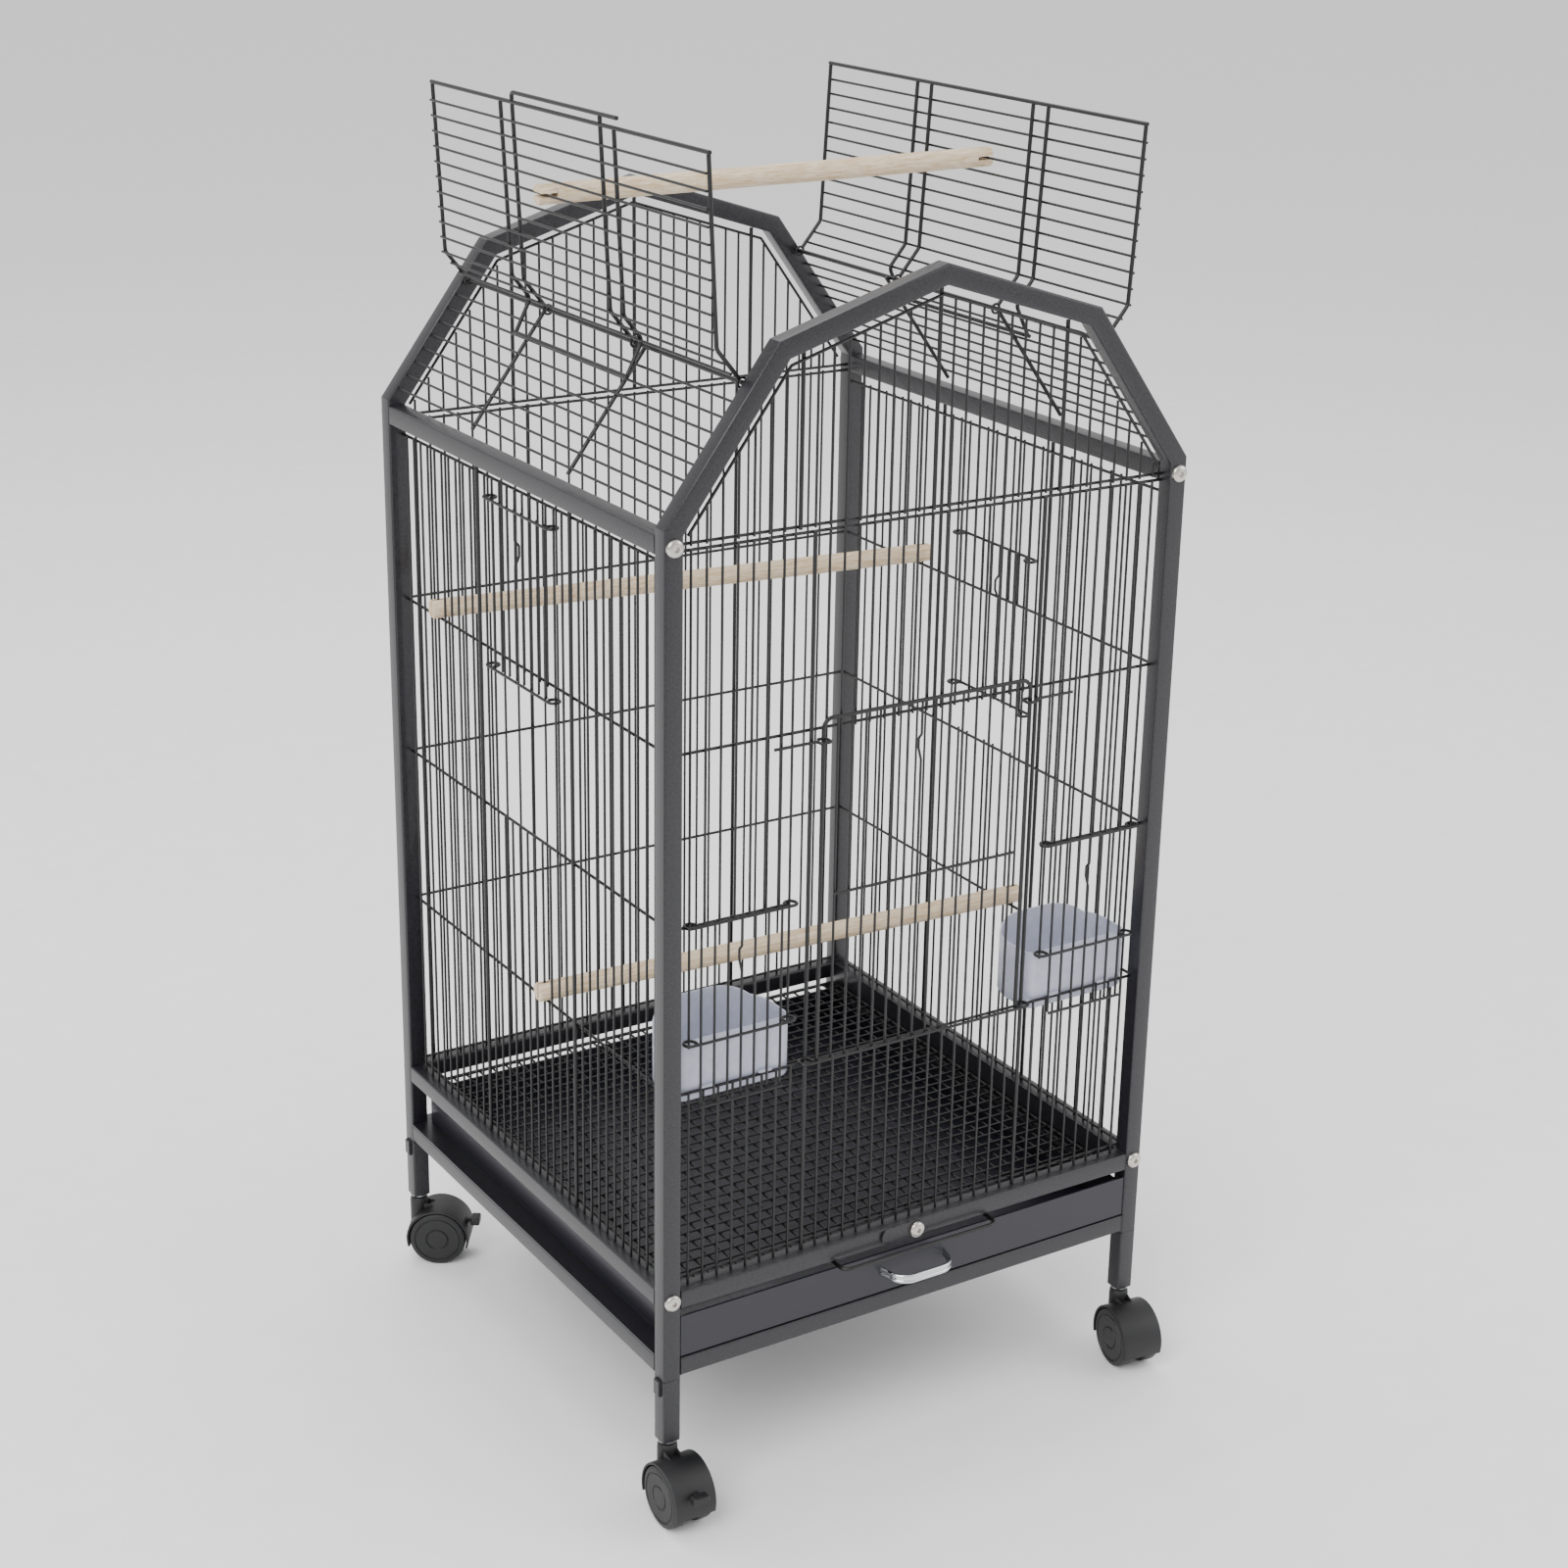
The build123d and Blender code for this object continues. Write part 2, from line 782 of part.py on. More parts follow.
def roof_slope_panel(side):
    """Fixed wire panel between the eave rail and the hinge rod."""
    with BuildPart() as panel:
        for row in range(1, slope_rows + 1):
            point = eave_point + slope_up * (row * wire_pitch) - slope_out * hinge_depth
            wire(mirrored(point, side, -inner_depth), mirrored(point, side, inner_depth),
                 thin_wire)
        depth = hinge_depth + rod_radius + thick_wire + weld_gap
        start_run = depth + thick_wire
        for y in (-side * slope_wire_far, side * slope_wire_near):
            start = eave_point + slope_up * start_run - slope_out * depth
            end = eave_point + slope_up * (hinge_run + 2 * rod_radius) - slope_out * depth
            wire(mirrored(start, side, y), mirrored(end, side, y), thick_wire)
    return panel.part


def hinge_rod(side):
    """Round rod between the gables, which carries one roof door."""
    with BuildPart() as rod:
        wire(mirrored(hinge_point, side, -inner_depth), mirrored(hinge_point, side, inner_depth),
             rod_radius)
    return rod.part


def roof_door(side):
    """Bent roof door, standing open; the left one carries the locking lip."""
    eye_ring = rod_radius + thin_wire + 2 * door_gap
    inner_wires, outer_wires = [
        (-side * far, side * near) for near, far in zip(near_pair, far_pair)
    ]
    stop_start = hinge_point + short_run * stop_lift
    stop_end = (hinge_point - slope_up * stop_length
                + slope_out * (thin_wire + thick_wire + stop_clearance))
    stop_bar = stop_end - slope_up * (thick_wire + weld_gap)
    with BuildPart() as door:
        for y in (-door_half, door_half) + inner_wires:
            start = hinge_point + short_run * eye_ring
            path = [mirrored(p, side, y) for p in (start, door_bend_point, door_tip_point)]
            bent_wire(path, thick_wire, wire_bend)
            with Locations(Location(mirrored(hinge_point, side, y), (90, 0, 0))):
                Torus(eye_ring, thin_wire)
        for y in outer_wires:
            corners = (door_tip_point, door_bend_point, stop_start, stop_end)
            bent_wire([mirrored(p, side, y) for p in corners], thick_wire, wire_bend)
        wire(mirrored(stop_bar, side, min(outer_wires) - thick_wire),
             mirrored(stop_bar, side, max(outer_wires) + thick_wire), thick_wire)
        rows = [hinge_point + short_run * (door_knee_run * (i + 1) / door_short_rows)
                + short_out * row_lift for i in range(door_short_rows - 1)]
        rows += [door_bend_point + long_run * (door_reach * i / door_long_rows)
                 + long_out * row_lift for i in range(door_long_rows)]
        for point in rows:
            wire(mirrored(point, side, -door_half), mirrored(point, side, door_half), thin_wire)
        bar = door_tip_point + long_run * (thick_wire + weld_gap)
        wire(mirrored(bar, side, -door_half - thick_wire),
             mirrored(bar, side, door_half + thick_wire), thick_wire)
        if side < 0:
            lip_wires(side, inner_wires)
    return door.part


def lip_wires(side, places):
    """Adds the locking lip: two wires carried past the top bar and turned along it."""
    base = door_tip_point + long_run * (2 * thick_wire + 2 * weld_gap)
    tip = base + long_run * lip_rise
    back, front = max(places), min(places)
    path = [mirrored(base, side, back), mirrored(tip, side, back),
            mirrored(tip, side, front - lip_overrun)]
    bent_wire(path, thick_wire, wire_bend / 2)
    wire(mirrored(base, side, front), mirrored(tip - long_run * thick_wire, side, front),
         thick_wire)


# ------------------------------------------------------------ perches


def slotted_perch(left, right, overhang, upright_slot):
    """Round wooden perch between two wires, with a slot sawn into each end."""
    run = right - left
    middle = (left + right) / 2
    half_length = run.length / 2 + overhang
    slot = 2 * (thin_wire + perch_slot_clearance)
    across = (2 * perch_slot_depth, slot, 3 * perch_radius)
    if not upright_slot:
        across = (2 * perch_slot_depth, 3 * perch_radius, slot)
    plane = Plane(origin=middle, x_dir=run, z_dir=run.cross(Vector(0, 1, 0)))
    with BuildPart(plane) as perch:
        Cylinder(perch_radius, 2 * half_length, rotation=(0, 90, 0))
        chamfer(perch.edges().filter_by(GeomType.CIRCLE), perch_chamfer)
        with Locations((-half_length, 0, 0), (half_length, 0, 0)):
            Box(*across, mode=Mode.SUBTRACT)
    return perch.part


def wall_perch(ends, level):
    """Perch whose end slots straddle side wall wires, resting on two level wires."""
    height = level + level_wire + perch_radius + running_gap
    left, right = [Vector(side * wall_x, index * wire_pitch, height)
                   for side, index in zip((-1, 1), ends)]
    return slotted_perch(left, right, perch_overhang, True)


def top_perch():
    """Play-top perch, clipped on a wire of each open roof door."""
    rows = [door_bend_point + long_run * (door_reach * row / door_long_rows)
            + long_out * row_lift for row in top_perch_rows]
    left, right = [mirrored(row, side, y)
                   for row, side, y in zip(rows, (-1, 1), top_perch_ends)]
    return slotted_perch(left, right, top_perch_overhang, False)


# ------------------------------------------------------------ feeding cups


def food_cup(side):
    """Feeding cup with a flat front, a round back and a domed back rim."""
    centre_x = side * (cup_guide_inner + cup_guide_outer) / 2
    front_y = -wall_y + thin_wire + eye_gap + 2 * level_wire + cup_clearance
    shell_plane = Plane.XY.offset(cup_bottom)
    with BuildPart() as cup:
        with BuildSketch(shell_plane) as outline:
            with Locations((centre_x, front_y)):
                Rectangle(cup_width, cup_depth, align=(Align.CENTER, Align.MIN))
            back = outline.vertices().group_by(Axis.Y)[-1]
            fillet(back, cup_depth * 0.55)
            front = outline.vertices().group_by(Axis.Y)[0]
            fillet(front, cup_corner)
        extrude(amount=cup_back_height)
        with BuildSketch(Plane.XY.offset(cup_bottom + cup_wall)) as hollow:
            add(outline.sketch.moved(Location((0, 0, cup_wall))))
            offset(amount=-cup_wall, mode=Mode.REPLACE)
        extrude(hollow.sketch, amount=cup_back_height, mode=Mode.SUBTRACT)
        rim_base = cup_bottom + cup_front_height
        dome = cup_back_height - cup_front_height
        with BuildSketch(Plane.XZ.offset(-front_y - 2 * cup_depth)) as above_rim:
            with Locations((centre_x, rim_base)):
                Rectangle(2 * cup_width, 2 * dome, align=(Align.CENTER, Align.MIN))
                Ellipse(cup_width / 2 - cup_corner, dome, mode=Mode.SUBTRACT)
        extrude(above_rim.sketch, amount=3 * cup_depth, mode=Mode.SUBTRACT)
        with Locations((centre_x, front_y - cup_wall, rim_base)):
            Box(
                2 * cup_width,
                2 * cup_depth / 3,
                2 * dome,
                align=(Align.CENTER, Align.MIN, Align.MIN),
                mode=Mode.SUBTRACT,
            )
        tab_front = -wall_y + thin_wire + running_gap
        tab_z = low_level + level_wire + running_gap
        for shift in (-cup_width / 4, cup_width / 4):
            with Locations((centre_x + shift, tab_front, tab_z)):
                Box(
                    cup_tab_width,
                    front_y + cup_wall / 2 - tab_front,
                    cup_tab_thickness,
                    align=(Align.CENTER, Align.MIN, Align.MIN),
                )
    return cup.part


# ------------------------------------------------------------ tray and grate


def tray():
    """Folded sheet tray with a taller front panel."""
    front_y = -half_depth + tray_wall
    back_y = inner_depth - grate_rear_gap
    half = inner_width - tray_side_clearance
    length = back_y - front_y
    with BuildPart() as body:
        with Locations((0, front_y, tray_bottom)):
            Box(2 * half, length, tray_height, align=(Align.CENTER, Align.MIN, Align.MIN))
        with Locations((0, front_y + tray_wall, tray_bottom + tray_wall)):
            Box(
                2 * (half - tray_wall),
                length - 2 * tray_wall,
                tray_height,
                align=(Align.CENTER, Align.MIN, Align.MIN),
                mode=Mode.SUBTRACT,
            )
        with Locations((0, front_y, tray_bottom)):
            Box(
                2 * (inner_width - weld_gap - running_gap),
                tray_wall,
                tray_front_height,
                align=(Align.CENTER, Align.MIN, Align.MIN),
            )
    return body.part


def tray_handle():
    """Bow handle of two bars joined by a web, on the tray's front."""
    face_y = -half_depth + tray_wall
    half = handle_length / 2
    points = [(-half, face_y + handle_reach / 2, handle_height),
              (-half * 0.7, face_y - handle_reach, handle_height),
              (half * 0.7, face_y - handle_reach, handle_height),
              (half, face_y + handle_reach / 2, handle_height)]
    with BuildPart() as handle:
        with BuildLine() as path:
            FilletPolyline(*points, radius=handle_reach * 0.9)
        with BuildSketch(Plane(origin=path.line @ 0, x_dir=(0, 0, 1), z_dir=path.line % 0)):
            with Locations((-handle_bar_spacing / 2, 0), (handle_bar_spacing / 2, 0)):
                Circle(handle_bar)
            Rectangle(handle_bar_spacing, handle_bar)
        sweep(path=path.line)
        split(bisect_by=Plane.XZ.offset(-face_y), keep=Keep.TOP)
    return handle.part


def floor_grate():
    """Wire grid over the tray, with a thick wire round its edge."""
    columns = int((grate_half - 2 * grate_edge_wire) / wire_pitch)
    rows = int((grate_back - grate_front) / wire_pitch) - 1
    run_start = grate_front + 2 * grate_edge_wire + weld_gap
    run_length = grate_back - grate_front - 4 * grate_edge_wire - 2 * weld_gap
    cross_half = grate_half - 2 * grate_edge_wire - weld_gap
    cross_z = grate_level + 2 * thin_wire + weld_gap
    row_margin = (grate_back - grate_front - (rows - 1) * wire_pitch) / 2
    run_plane = Plane(origin=(0, run_start, grate_level), x_dir=(1, 0, 0), z_dir=(0, 1, 0))
    cross_plane = Plane(origin=(-cross_half, grate_front, cross_z), x_dir=(0, 1, 0),
                        z_dir=(1, 0, 0))
    with BuildPart() as grate:
        with BuildSketch(run_plane) as columns_section:
            with Locations(*[(k * wire_pitch, 0) for k in range(-columns, columns + 1)]):
                Circle(thin_wire)
            edge_x = grate_half - grate_edge_wire
            with Locations((-edge_x, 0), (edge_x, 0)):
                Circle(grate_edge_wire)
        extrude(columns_section.sketch, amount=run_length)
        with BuildSketch(cross_plane) as rows_section:
            with Locations(*[(row_margin + k * wire_pitch, 0) for k in range(rows)]):
                Circle(thin_wire)
        extrude(rows_section.sketch, amount=2 * cross_half)
        for y in (grate_front + grate_edge_wire, grate_back - grate_edge_wire):
            wire((-grate_half, y, grate_level), (grate_half, y, grate_level), grate_edge_wire)
    return grate.part


def grate_pull():
    """Pull loop at the front of the grate."""
    start = grate_front - weld_gap
    pull_y = -half_depth - grate_pull_reach
    half = grate_pull_width / 2
    with BuildPart() as pull:
        bent_wire([(-half, start, grate_level), (-half, pull_y, grate_level),
                   (half, pull_y, grate_level), (half, start, grate_level)],
                  grate_edge_wire, wire_bend)
    return pull.part


# ------------------------------------------------------------ castors


def caster_plane(x, y, heading):
    """Work plane of one castor, its x axis along the trail."""
    turn = radians(heading)
    return Plane(origin=(x, y, 0), x_dir=(cos(turn), sin(turn), 0), z_dir=(0, 0, 1))


def caster_stems():
    """Steel stems and washers between the legs and the castors."""
    with BuildPart() as stems:
        for x, y, _, _ in corner_posts.values():
            with Locations((x, y, stem_foot)):
                Cylinder(stem_radius, stem_top - stem_foot,
                         align=(Align.CENTER, Align.CENTER, Align.MIN))
            with Locations((x, y, leg_foot - washer_thickness)):
                Cylinder(washer_radius, washer_thickness,
                         align=(Align.CENTER, Align.CENTER, Align.MIN))
    return stems.part


def caster_hood(plane, braked):
    """Moulded hood with the stem boss and the web between the wheels."""
    outer = wheel_radius + hood_clearance + hood_wall
    half = wheel_spacing + wheel_width
    with BuildPart(plane) as hood:
        with Locations(Location((caster_trail, 0, wheel_radius), (90, 0, 0))):
            Cylinder(outer, 2 * half)
        with Locations((0, 0, wheel_radius)):
            Cylinder(boss_radius, boss_top - wheel_radius,
                     align=(Align.CENTER, Align.CENTER, Align.MIN))
        for side in (-1, 1):
            pocket = Location((caster_trail, side * (hood_web + wheel_width), wheel_radius),
                              (90, 0, 0))
            with Locations(pocket):
                Cylinder(wheel_radius + hood_clearance, 2 * wheel_width, mode=Mode.SUBTRACT)
        with Locations((caster_trail, 0, 0)):
            Box(4 * wheel_radius, 4 * half, 2 * hood_foot, mode=Mode.SUBTRACT)
        with Locations(Location((caster_trail, 0, wheel_radius), (90, 0, 0))):
            Cylinder(axle_radius + axle_clearance, 4 * half, mode=Mode.SUBTRACT)
        with Locations((0, 0, stem_foot - running_gap)):
            Cylinder(stem_radius + axle_clearance, boss_top,
                     align=(Align.CENTER, Align.CENTER, Align.MIN), mode=Mode.SUBTRACT)
        if braked:
            with Locations((brake_pivot_x, 0, brake_pivot_z)):
                Box(*brake_slot, mode=Mode.SUBTRACT)
            with Locations(Location((brake_pivot_x, 0, brake_pivot_z), (90, 0, 0))):
                Cylinder(brake_pin + axle_clearance, 2 * hood_web, mode=Mode.SUBTRACT)
    return hood.part


def caster_axle(plane):
    """Steel axle of one castor."""
    with BuildPart(plane) as axle:
        with Locations(Location((caster_trail, 0, wheel_radius), (90, 0, 0))):
            Cylinder(axle_radius, 2 * (wheel_spacing + wheel_width - wheel_cap - axle_end_gap))
    return axle.part


def caster_wheels(plane):
    """The twin wheels of one castor."""
    with BuildPart(plane) as wheels:
        for side in (-1, 1):
            y = side * (wheel_spacing + wheel_width / 2)
            with Locations(Location((caster_trail, y, wheel_radius), (90, 0, 0))):
                Cylinder(wheel_radius, wheel_width)
        fillet(wheels.edges().filter_by(GeomType.CIRCLE), wheel_edge)
        for side in (-1, 1):
            y = side * (wheel_spacing + wheel_width / 2 - wheel_cap)
            with Locations(Location((caster_trail, y, wheel_radius), (90, 0, 0))):
                Cylinder(axle_radius + axle_clearance, wheel_width, mode=Mode.SUBTRACT)
    return wheels.part


def brake_lever(plane):
    """Foot lever of a braked castor, on a cross pin in the hood."""
    with BuildPart(plane) as lever:
        tread_x = brake_slot[0] / 2 - running_gap
        blade_start = -(brake_pin + brake_blade / 2)
        with Locations((brake_pivot_x + blade_start, 0, brake_pivot_z)):
            Box(tread_x - blade_start + brake_blade, brake_blade, brake_blade,
                align=(Align.MIN, Align.CENTER, Align.CENTER))
        with Locations((brake_pivot_x + tread_x, 0, brake_pivot_z - brake_tread[2] / 2)):
            Box(*brake_tread, align=(Align.MIN, Align.CENTER, Align.MIN))
        with Locations(Location((brake_pivot_x, 0, brake_pivot_z), (90, 0, 0))):
            Cylinder(brake_pin, 2 * hood_web - 2 * running_gap)
    return lever.part


# ------------------------------------------------------------ build

os.makedirs("parts", exist_ok=True)

save(end_frame(True), "front_frame")
save(end_frame(False), "back_frame")
save(side_rails(-1), "left_side_rails")
save(side_rails(1), "right_side_rails")
save(tray_runners(), "tray_runners")
save(grate_ledges(), "grate_ledges")
save(legs(), "legs")
save(leg_plugs(), "leg_plugs")
save(leg_clips(), "leg_clips")
save(frame_bolts(), "frame_bolts")
save(latch_bolt(), "latch_bolt")
save(latch_plate(), "latch_plate")
save(front_wall(), "front_wall")
save(back_wall(), "back_wall")
save(side_wall(left_wall_plane), "left_wall")
save(side_wall(right_wall_plane), "right_wall")
save(gable_mesh(front_wall_plane), "front_gable_mesh")
save(gable_mesh(back_wall_plane), "back_gable_mesh")
save(main_door(), "main_door")
save(main_door_keepers(), "main_door_keepers")
save(cup_door(-1), "left_cup_door")
save(cup_door(1), "right_cup_door")
save(side_door(left_wall_plane, left_door_bottom), "left_side_door")
save(side_door(right_wall_plane, right_door_bottom), "right_side_door")
save(roof_slope_panel(-1), "left_roof_panel")
save(roof_slope_panel(1), "right_roof_panel")
save(hinge_rod(-1), "left_hinge_rod")
save(hinge_rod(1), "right_hinge_rod")
save(roof_door(-1), "left_roof_door")
save(roof_door(1), "right_roof_door")
save(wall_perch(upper_perch_ends, high_level), "upper_perch")
save(wall_perch(lower_perch_ends, low_level), "lower_perch")
save(top_perch(), "top_perch")
save(food_cup(-1), "left_food_cup")
save(food_cup(1), "right_food_cup")
save(tray(), "tray")
save(tray_handle(), "tray_handle")
save(floor_grate(), "floor_grate")
save(grate_pull(), "grate_pull")
save(caster_stems(), "caster_stems")
for corner, (x, y, heading, braked) in corner_posts.items():
    plane = caster_plane(x, y, heading)
    save(caster_hood(plane, braked), f"{corner}_caster_hood")
    save(caster_axle(plane), f"{corner}_caster_axle")
    save(caster_wheels(plane), f"{corner}_caster_wheels")
    if braked:
        save(brake_lever(plane), f"{corner}_brake_lever")
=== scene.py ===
"""Looks of a play-top bird cage on a castor stand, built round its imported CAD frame.

Sizes are written in millimetres and turned into metres when a mesh is made.
Every piece keeps its object at the origin, with its place in the mesh.
"""

import json
import logging
from dataclasses import dataclass, field
from enum import Enum

import bmesh
import bpy
import numpy as np
from mathutils import Matrix

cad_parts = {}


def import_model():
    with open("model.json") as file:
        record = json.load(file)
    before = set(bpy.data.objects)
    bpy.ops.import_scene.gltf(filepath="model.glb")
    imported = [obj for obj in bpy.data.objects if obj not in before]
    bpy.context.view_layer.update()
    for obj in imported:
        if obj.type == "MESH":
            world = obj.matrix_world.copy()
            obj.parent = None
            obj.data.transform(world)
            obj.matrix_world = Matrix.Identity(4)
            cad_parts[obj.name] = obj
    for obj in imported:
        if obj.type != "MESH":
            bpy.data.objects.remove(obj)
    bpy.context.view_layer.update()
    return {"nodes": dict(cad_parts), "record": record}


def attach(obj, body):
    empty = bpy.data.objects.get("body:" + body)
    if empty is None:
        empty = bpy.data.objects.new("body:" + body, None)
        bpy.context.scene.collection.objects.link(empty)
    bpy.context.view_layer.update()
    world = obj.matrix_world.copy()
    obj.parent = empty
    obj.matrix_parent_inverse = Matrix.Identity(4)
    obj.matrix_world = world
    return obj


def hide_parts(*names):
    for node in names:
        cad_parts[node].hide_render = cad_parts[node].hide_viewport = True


MM = 0.001
SMALLEST = 0.02
JOIN = 0.01
log = logging.getLogger("bird_cage")


class Slot(Enum):
    """Material slots of the record."""

    FRAME = "frame_powder"
    WIRE = "wire_black"
    BOLT = "bolt_nickel"
    TRAY = "tray_satin"
    CASTOR = "caster_plastic"
    WOOD = "perch_wood"
    CUP = "cup_plastic"
    CHROME = "handle_chrome"
    STEEL = "stem_steel"


class Axis(Enum):
    """Unit directions of the frame."""

    X = (1.0, 0.0, 0.0)
    Y = (0.0, 1.0, 0.0)
    Z = (0.0, 0.0, 1.0)
    FRONT = (0.0, -1.0, 0.0)


# ---------------------------------------------------------------- outlines


def rounded_outline(width: float, height: float, radius: float, steps: int = 4) -> np.ndarray:
    """Outline of a rectangle whose corners are quarter circles.

    Args:
        width: size along the first direction, in mm.
        height: size along the second direction, in mm.
        radius: corner radius, in mm.
        steps: segments in each quarter circle.

    Returns:
        Points (n, 2), counter-clockwise round the middle.
    """
    signs = np.array([[1, 1], [-1, 1], [-1, -1], [1, -1]], float)
    centres = signs * (np.array([width, height]) / 2 - radius)
    angles = np.linspace(0, np.pi / 2, steps + 1)[None, :] + np.arange(4)[:, None] * np.pi / 2
    arcs = radius * np.stack([np.cos(angles), np.sin(angles)], axis=-1)
    return (centres[:, None, :] + arcs).reshape(-1, 2)


def circle_outline(radius: float, sides: int = 48) -> np.ndarray:
    """Outline of a circle as sides points, counter-clockwise.

    Args:
        radius: radius in mm.
        sides: number of points.

    Returns:
        Points (sides, 2).
    """
    angles = np.linspace(0, 2 * np.pi, sides, endpoint=False)
    return radius * np.stack([np.cos(angles), np.sin(angles)], axis=-1)


def segment_outline(radius: float, chord: float, steps: int = 24) -> np.ndarray:
    """Outline of the part of a disc above a straight cut at height chord.

    Args:
        radius: disc radius in mm.
        chord: height of the cut above the disc's middle, in mm.
        steps: segments along the arc.

    Returns:
        Points (steps + 1, 2): the arc from one end of the cut to the other.
    """
    start = np.arcsin(chord / radius)
    angles = np.linspace(start, np.pi - start, steps + 1)
    return radius * np.stack([np.cos(angles), np.sin(angles)], axis=-1)


def basis(direction: np.ndarray, hint: np.ndarray) -> tuple[np.ndarray, np.ndarray, np.ndarray]:
    """Right-handed axes whose third axis is direction and whose second leans to hint.

    Args:
        direction: the way to go, any length.
        hint: a direction that is not parallel to it.

    Returns:
        Three unit vectors: side, up and forward, with side x up = forward.
    """
    forward = direction / np.linalg.norm(direction)
    side = np.cross(hint, forward)
    side = side / np.linalg.norm(side)
    return side, np.cross(forward, side), forward


def bend_path(points: np.ndarray, radius: float, steps: int = 8) -> np.ndarray:
    """A polyline with each inner corner replaced by a circular arc.

    With unit directions a and b before and after a corner and turn angle t between them,
    the arc starts radius * tan(t / 2) before the corner and its middle lies on the
    bisector.

    Args:
        points: corners (k, 3) in mm.
        radius: arc radius in mm.
        steps: segments in each arc.

    Returns:
        Points along the bent path.
    """
    pieces = [points[:1]]
    for before, corner, after in zip(points[:-2], points[1:-1], points[2:]):
        a = (corner - before) / np.linalg.norm(corner - before)
        b = (after - corner) / np.linalg.norm(after - corner)
        turn = np.arccos(np.clip(a @ b, -1, 1))
        start = corner - a * radius * np.tan(turn / 2)
        inward = b - a * (a @ b)
        inward = inward / np.linalg.norm(inward)
        centre = start + inward * radius
        angles = np.linspace(0, turn, steps + 1)[:, None]
        pieces.append(centre - inward * radius * np.cos(angles) + a * radius * np.sin(angles))
    pieces.append(points[-1:])
    return np.concatenate(pieces)


# ---------------------------------------------------------------- finishes


def linear(code: str) -> tuple[float, float, float, float]:
    """Turns an sRGB hex colour into the renderer's linear colour.

    Args:
        code: colour such as "#3c3b45".

    Returns:
        Red, green, blue and alpha, from 0 to 1.
    """
    values = np.array([int(code[i : i + 2], 16) for i in (1, 3, 5)]) / 255
    curved = np.where(values <= 0.04045, values / 12.92, ((values + 0.055) / 1.055) ** 2.4)
    return (*[float(v) for v in curved], 1.0)


def add_node(tree: bpy.types.NodeTree, kind: str, settings: dict, **sockets) -> bpy.types.Node:
    """Adds one shader node and sets or links its inputs.

    Args:
        tree: the material's node tree.
        kind: the node's type name without its "ShaderNode" start.
        settings: attributes of the node itself.
        sockets: input names, with "_" for a space, to a value or an output socket.

    Returns:
        The new node.
    """
    node = tree.nodes.new("ShaderNode" + kind)
    for key, value in settings.items():
        setattr(node, key, value)
    for key, value in sockets.items():
        socket = node.inputs[key.replace("_", " ")]
        if isinstance(value, bpy.types.NodeSocket):
            tree.links.new(value, socket)
        else:
            socket.default_value = value
    return node


@dataclass(frozen=True)
class Finish:
    """A surface made of a base colour with fine speckle, roughness change and relief.

    grain is the size of the speckle in mm, relief the height of its bumps in mm.
    """

    name: str
    slot: Slot
    light: str
    dark: str
    metallic: float = 0.0
    roughness: float = 0.4
    roughness_spread: float = 0.1
    grain: float = 1.5
    relief: float = 0.02
    stretch: tuple[float, float, float] = (1.0, 1.0, 1.0)
    ior: float = 1.5
    coat: float = 0.0
    transmission: float = 0.0

    def pattern(self, tree: bpy.types.NodeTree) -> bpy.types.NodeSocket:
        """The speckle, from 0 to 1.

        Args:
            tree: the material's node tree.

        Returns:
            The socket that carries it.
        """
        place = add_node(tree, "TexCoord", {}).outputs["Object"]
        stretched = add_node(tree, "Mapping", {}, Vector=place, Scale=self.stretch)
        noise = add_node(
            tree,
            "TexNoise",
            {"noise_dimensions": "3D"},
            Vector=stretched.outputs["Vector"],
            Scale=1 / (self.grain * MM),
            Detail=3.0,
            Roughness=0.55,
        )
        return noise.outputs["Fac"]

    def colour(self, tree: bpy.types.NodeTree, speckle: bpy.types.NodeSocket):
        """The colour, which runs from dark to light with the speckle.

        Args:
            tree: the material's node tree.
            speckle: the speckle's socket.

        Returns:
            The socket that carries the colour.
        """
        ramp = add_node(tree, "ValToRGB", {}, Fac=speckle)
        ramp.color_ramp.elements[0].position = 0.35
        ramp.color_ramp.elements[0].color = linear(self.dark)
        ramp.color_ramp.elements[1].position = 0.65
        ramp.color_ramp.elements[1].color = linear(self.light)
        return ramp.outputs["Color"]

    def make(self) -> bpy.types.Material:
        """Builds the material.

        Returns:
            The finished material.
        """
        material = bpy.data.materials.new(self.name)
        material.use_nodes = True
        tree = material.node_tree
        tree.nodes.clear()
        speckle = self.pattern(tree)
        rough = add_node(
            tree,
            "MapRange",
            {},
            Value=speckle,
            To_Min=self.roughness - self.roughness_spread,
            To_Max=self.roughness + self.roughness_spread,
        )
        bump = add_node(tree, "Bump", {}, Height=speckle, Strength=1.0,
                        Distance=self.relief * MM)
        surface = add_node(
            tree,
            "BsdfPrincipled",
            {},
            Base_Color=self.colour(tree, speckle),
            Metallic=self.metallic,
            Roughness=rough.outputs["Result"],
            IOR=self.ior,
            Coat_Weight=self.coat,
            Transmission_Weight=self.transmission,
            Normal=bump.outputs["Normal"],
        )
        add_node(tree, "OutputMaterial", {}, Surface=surface.outputs["BSDF"])
        return material


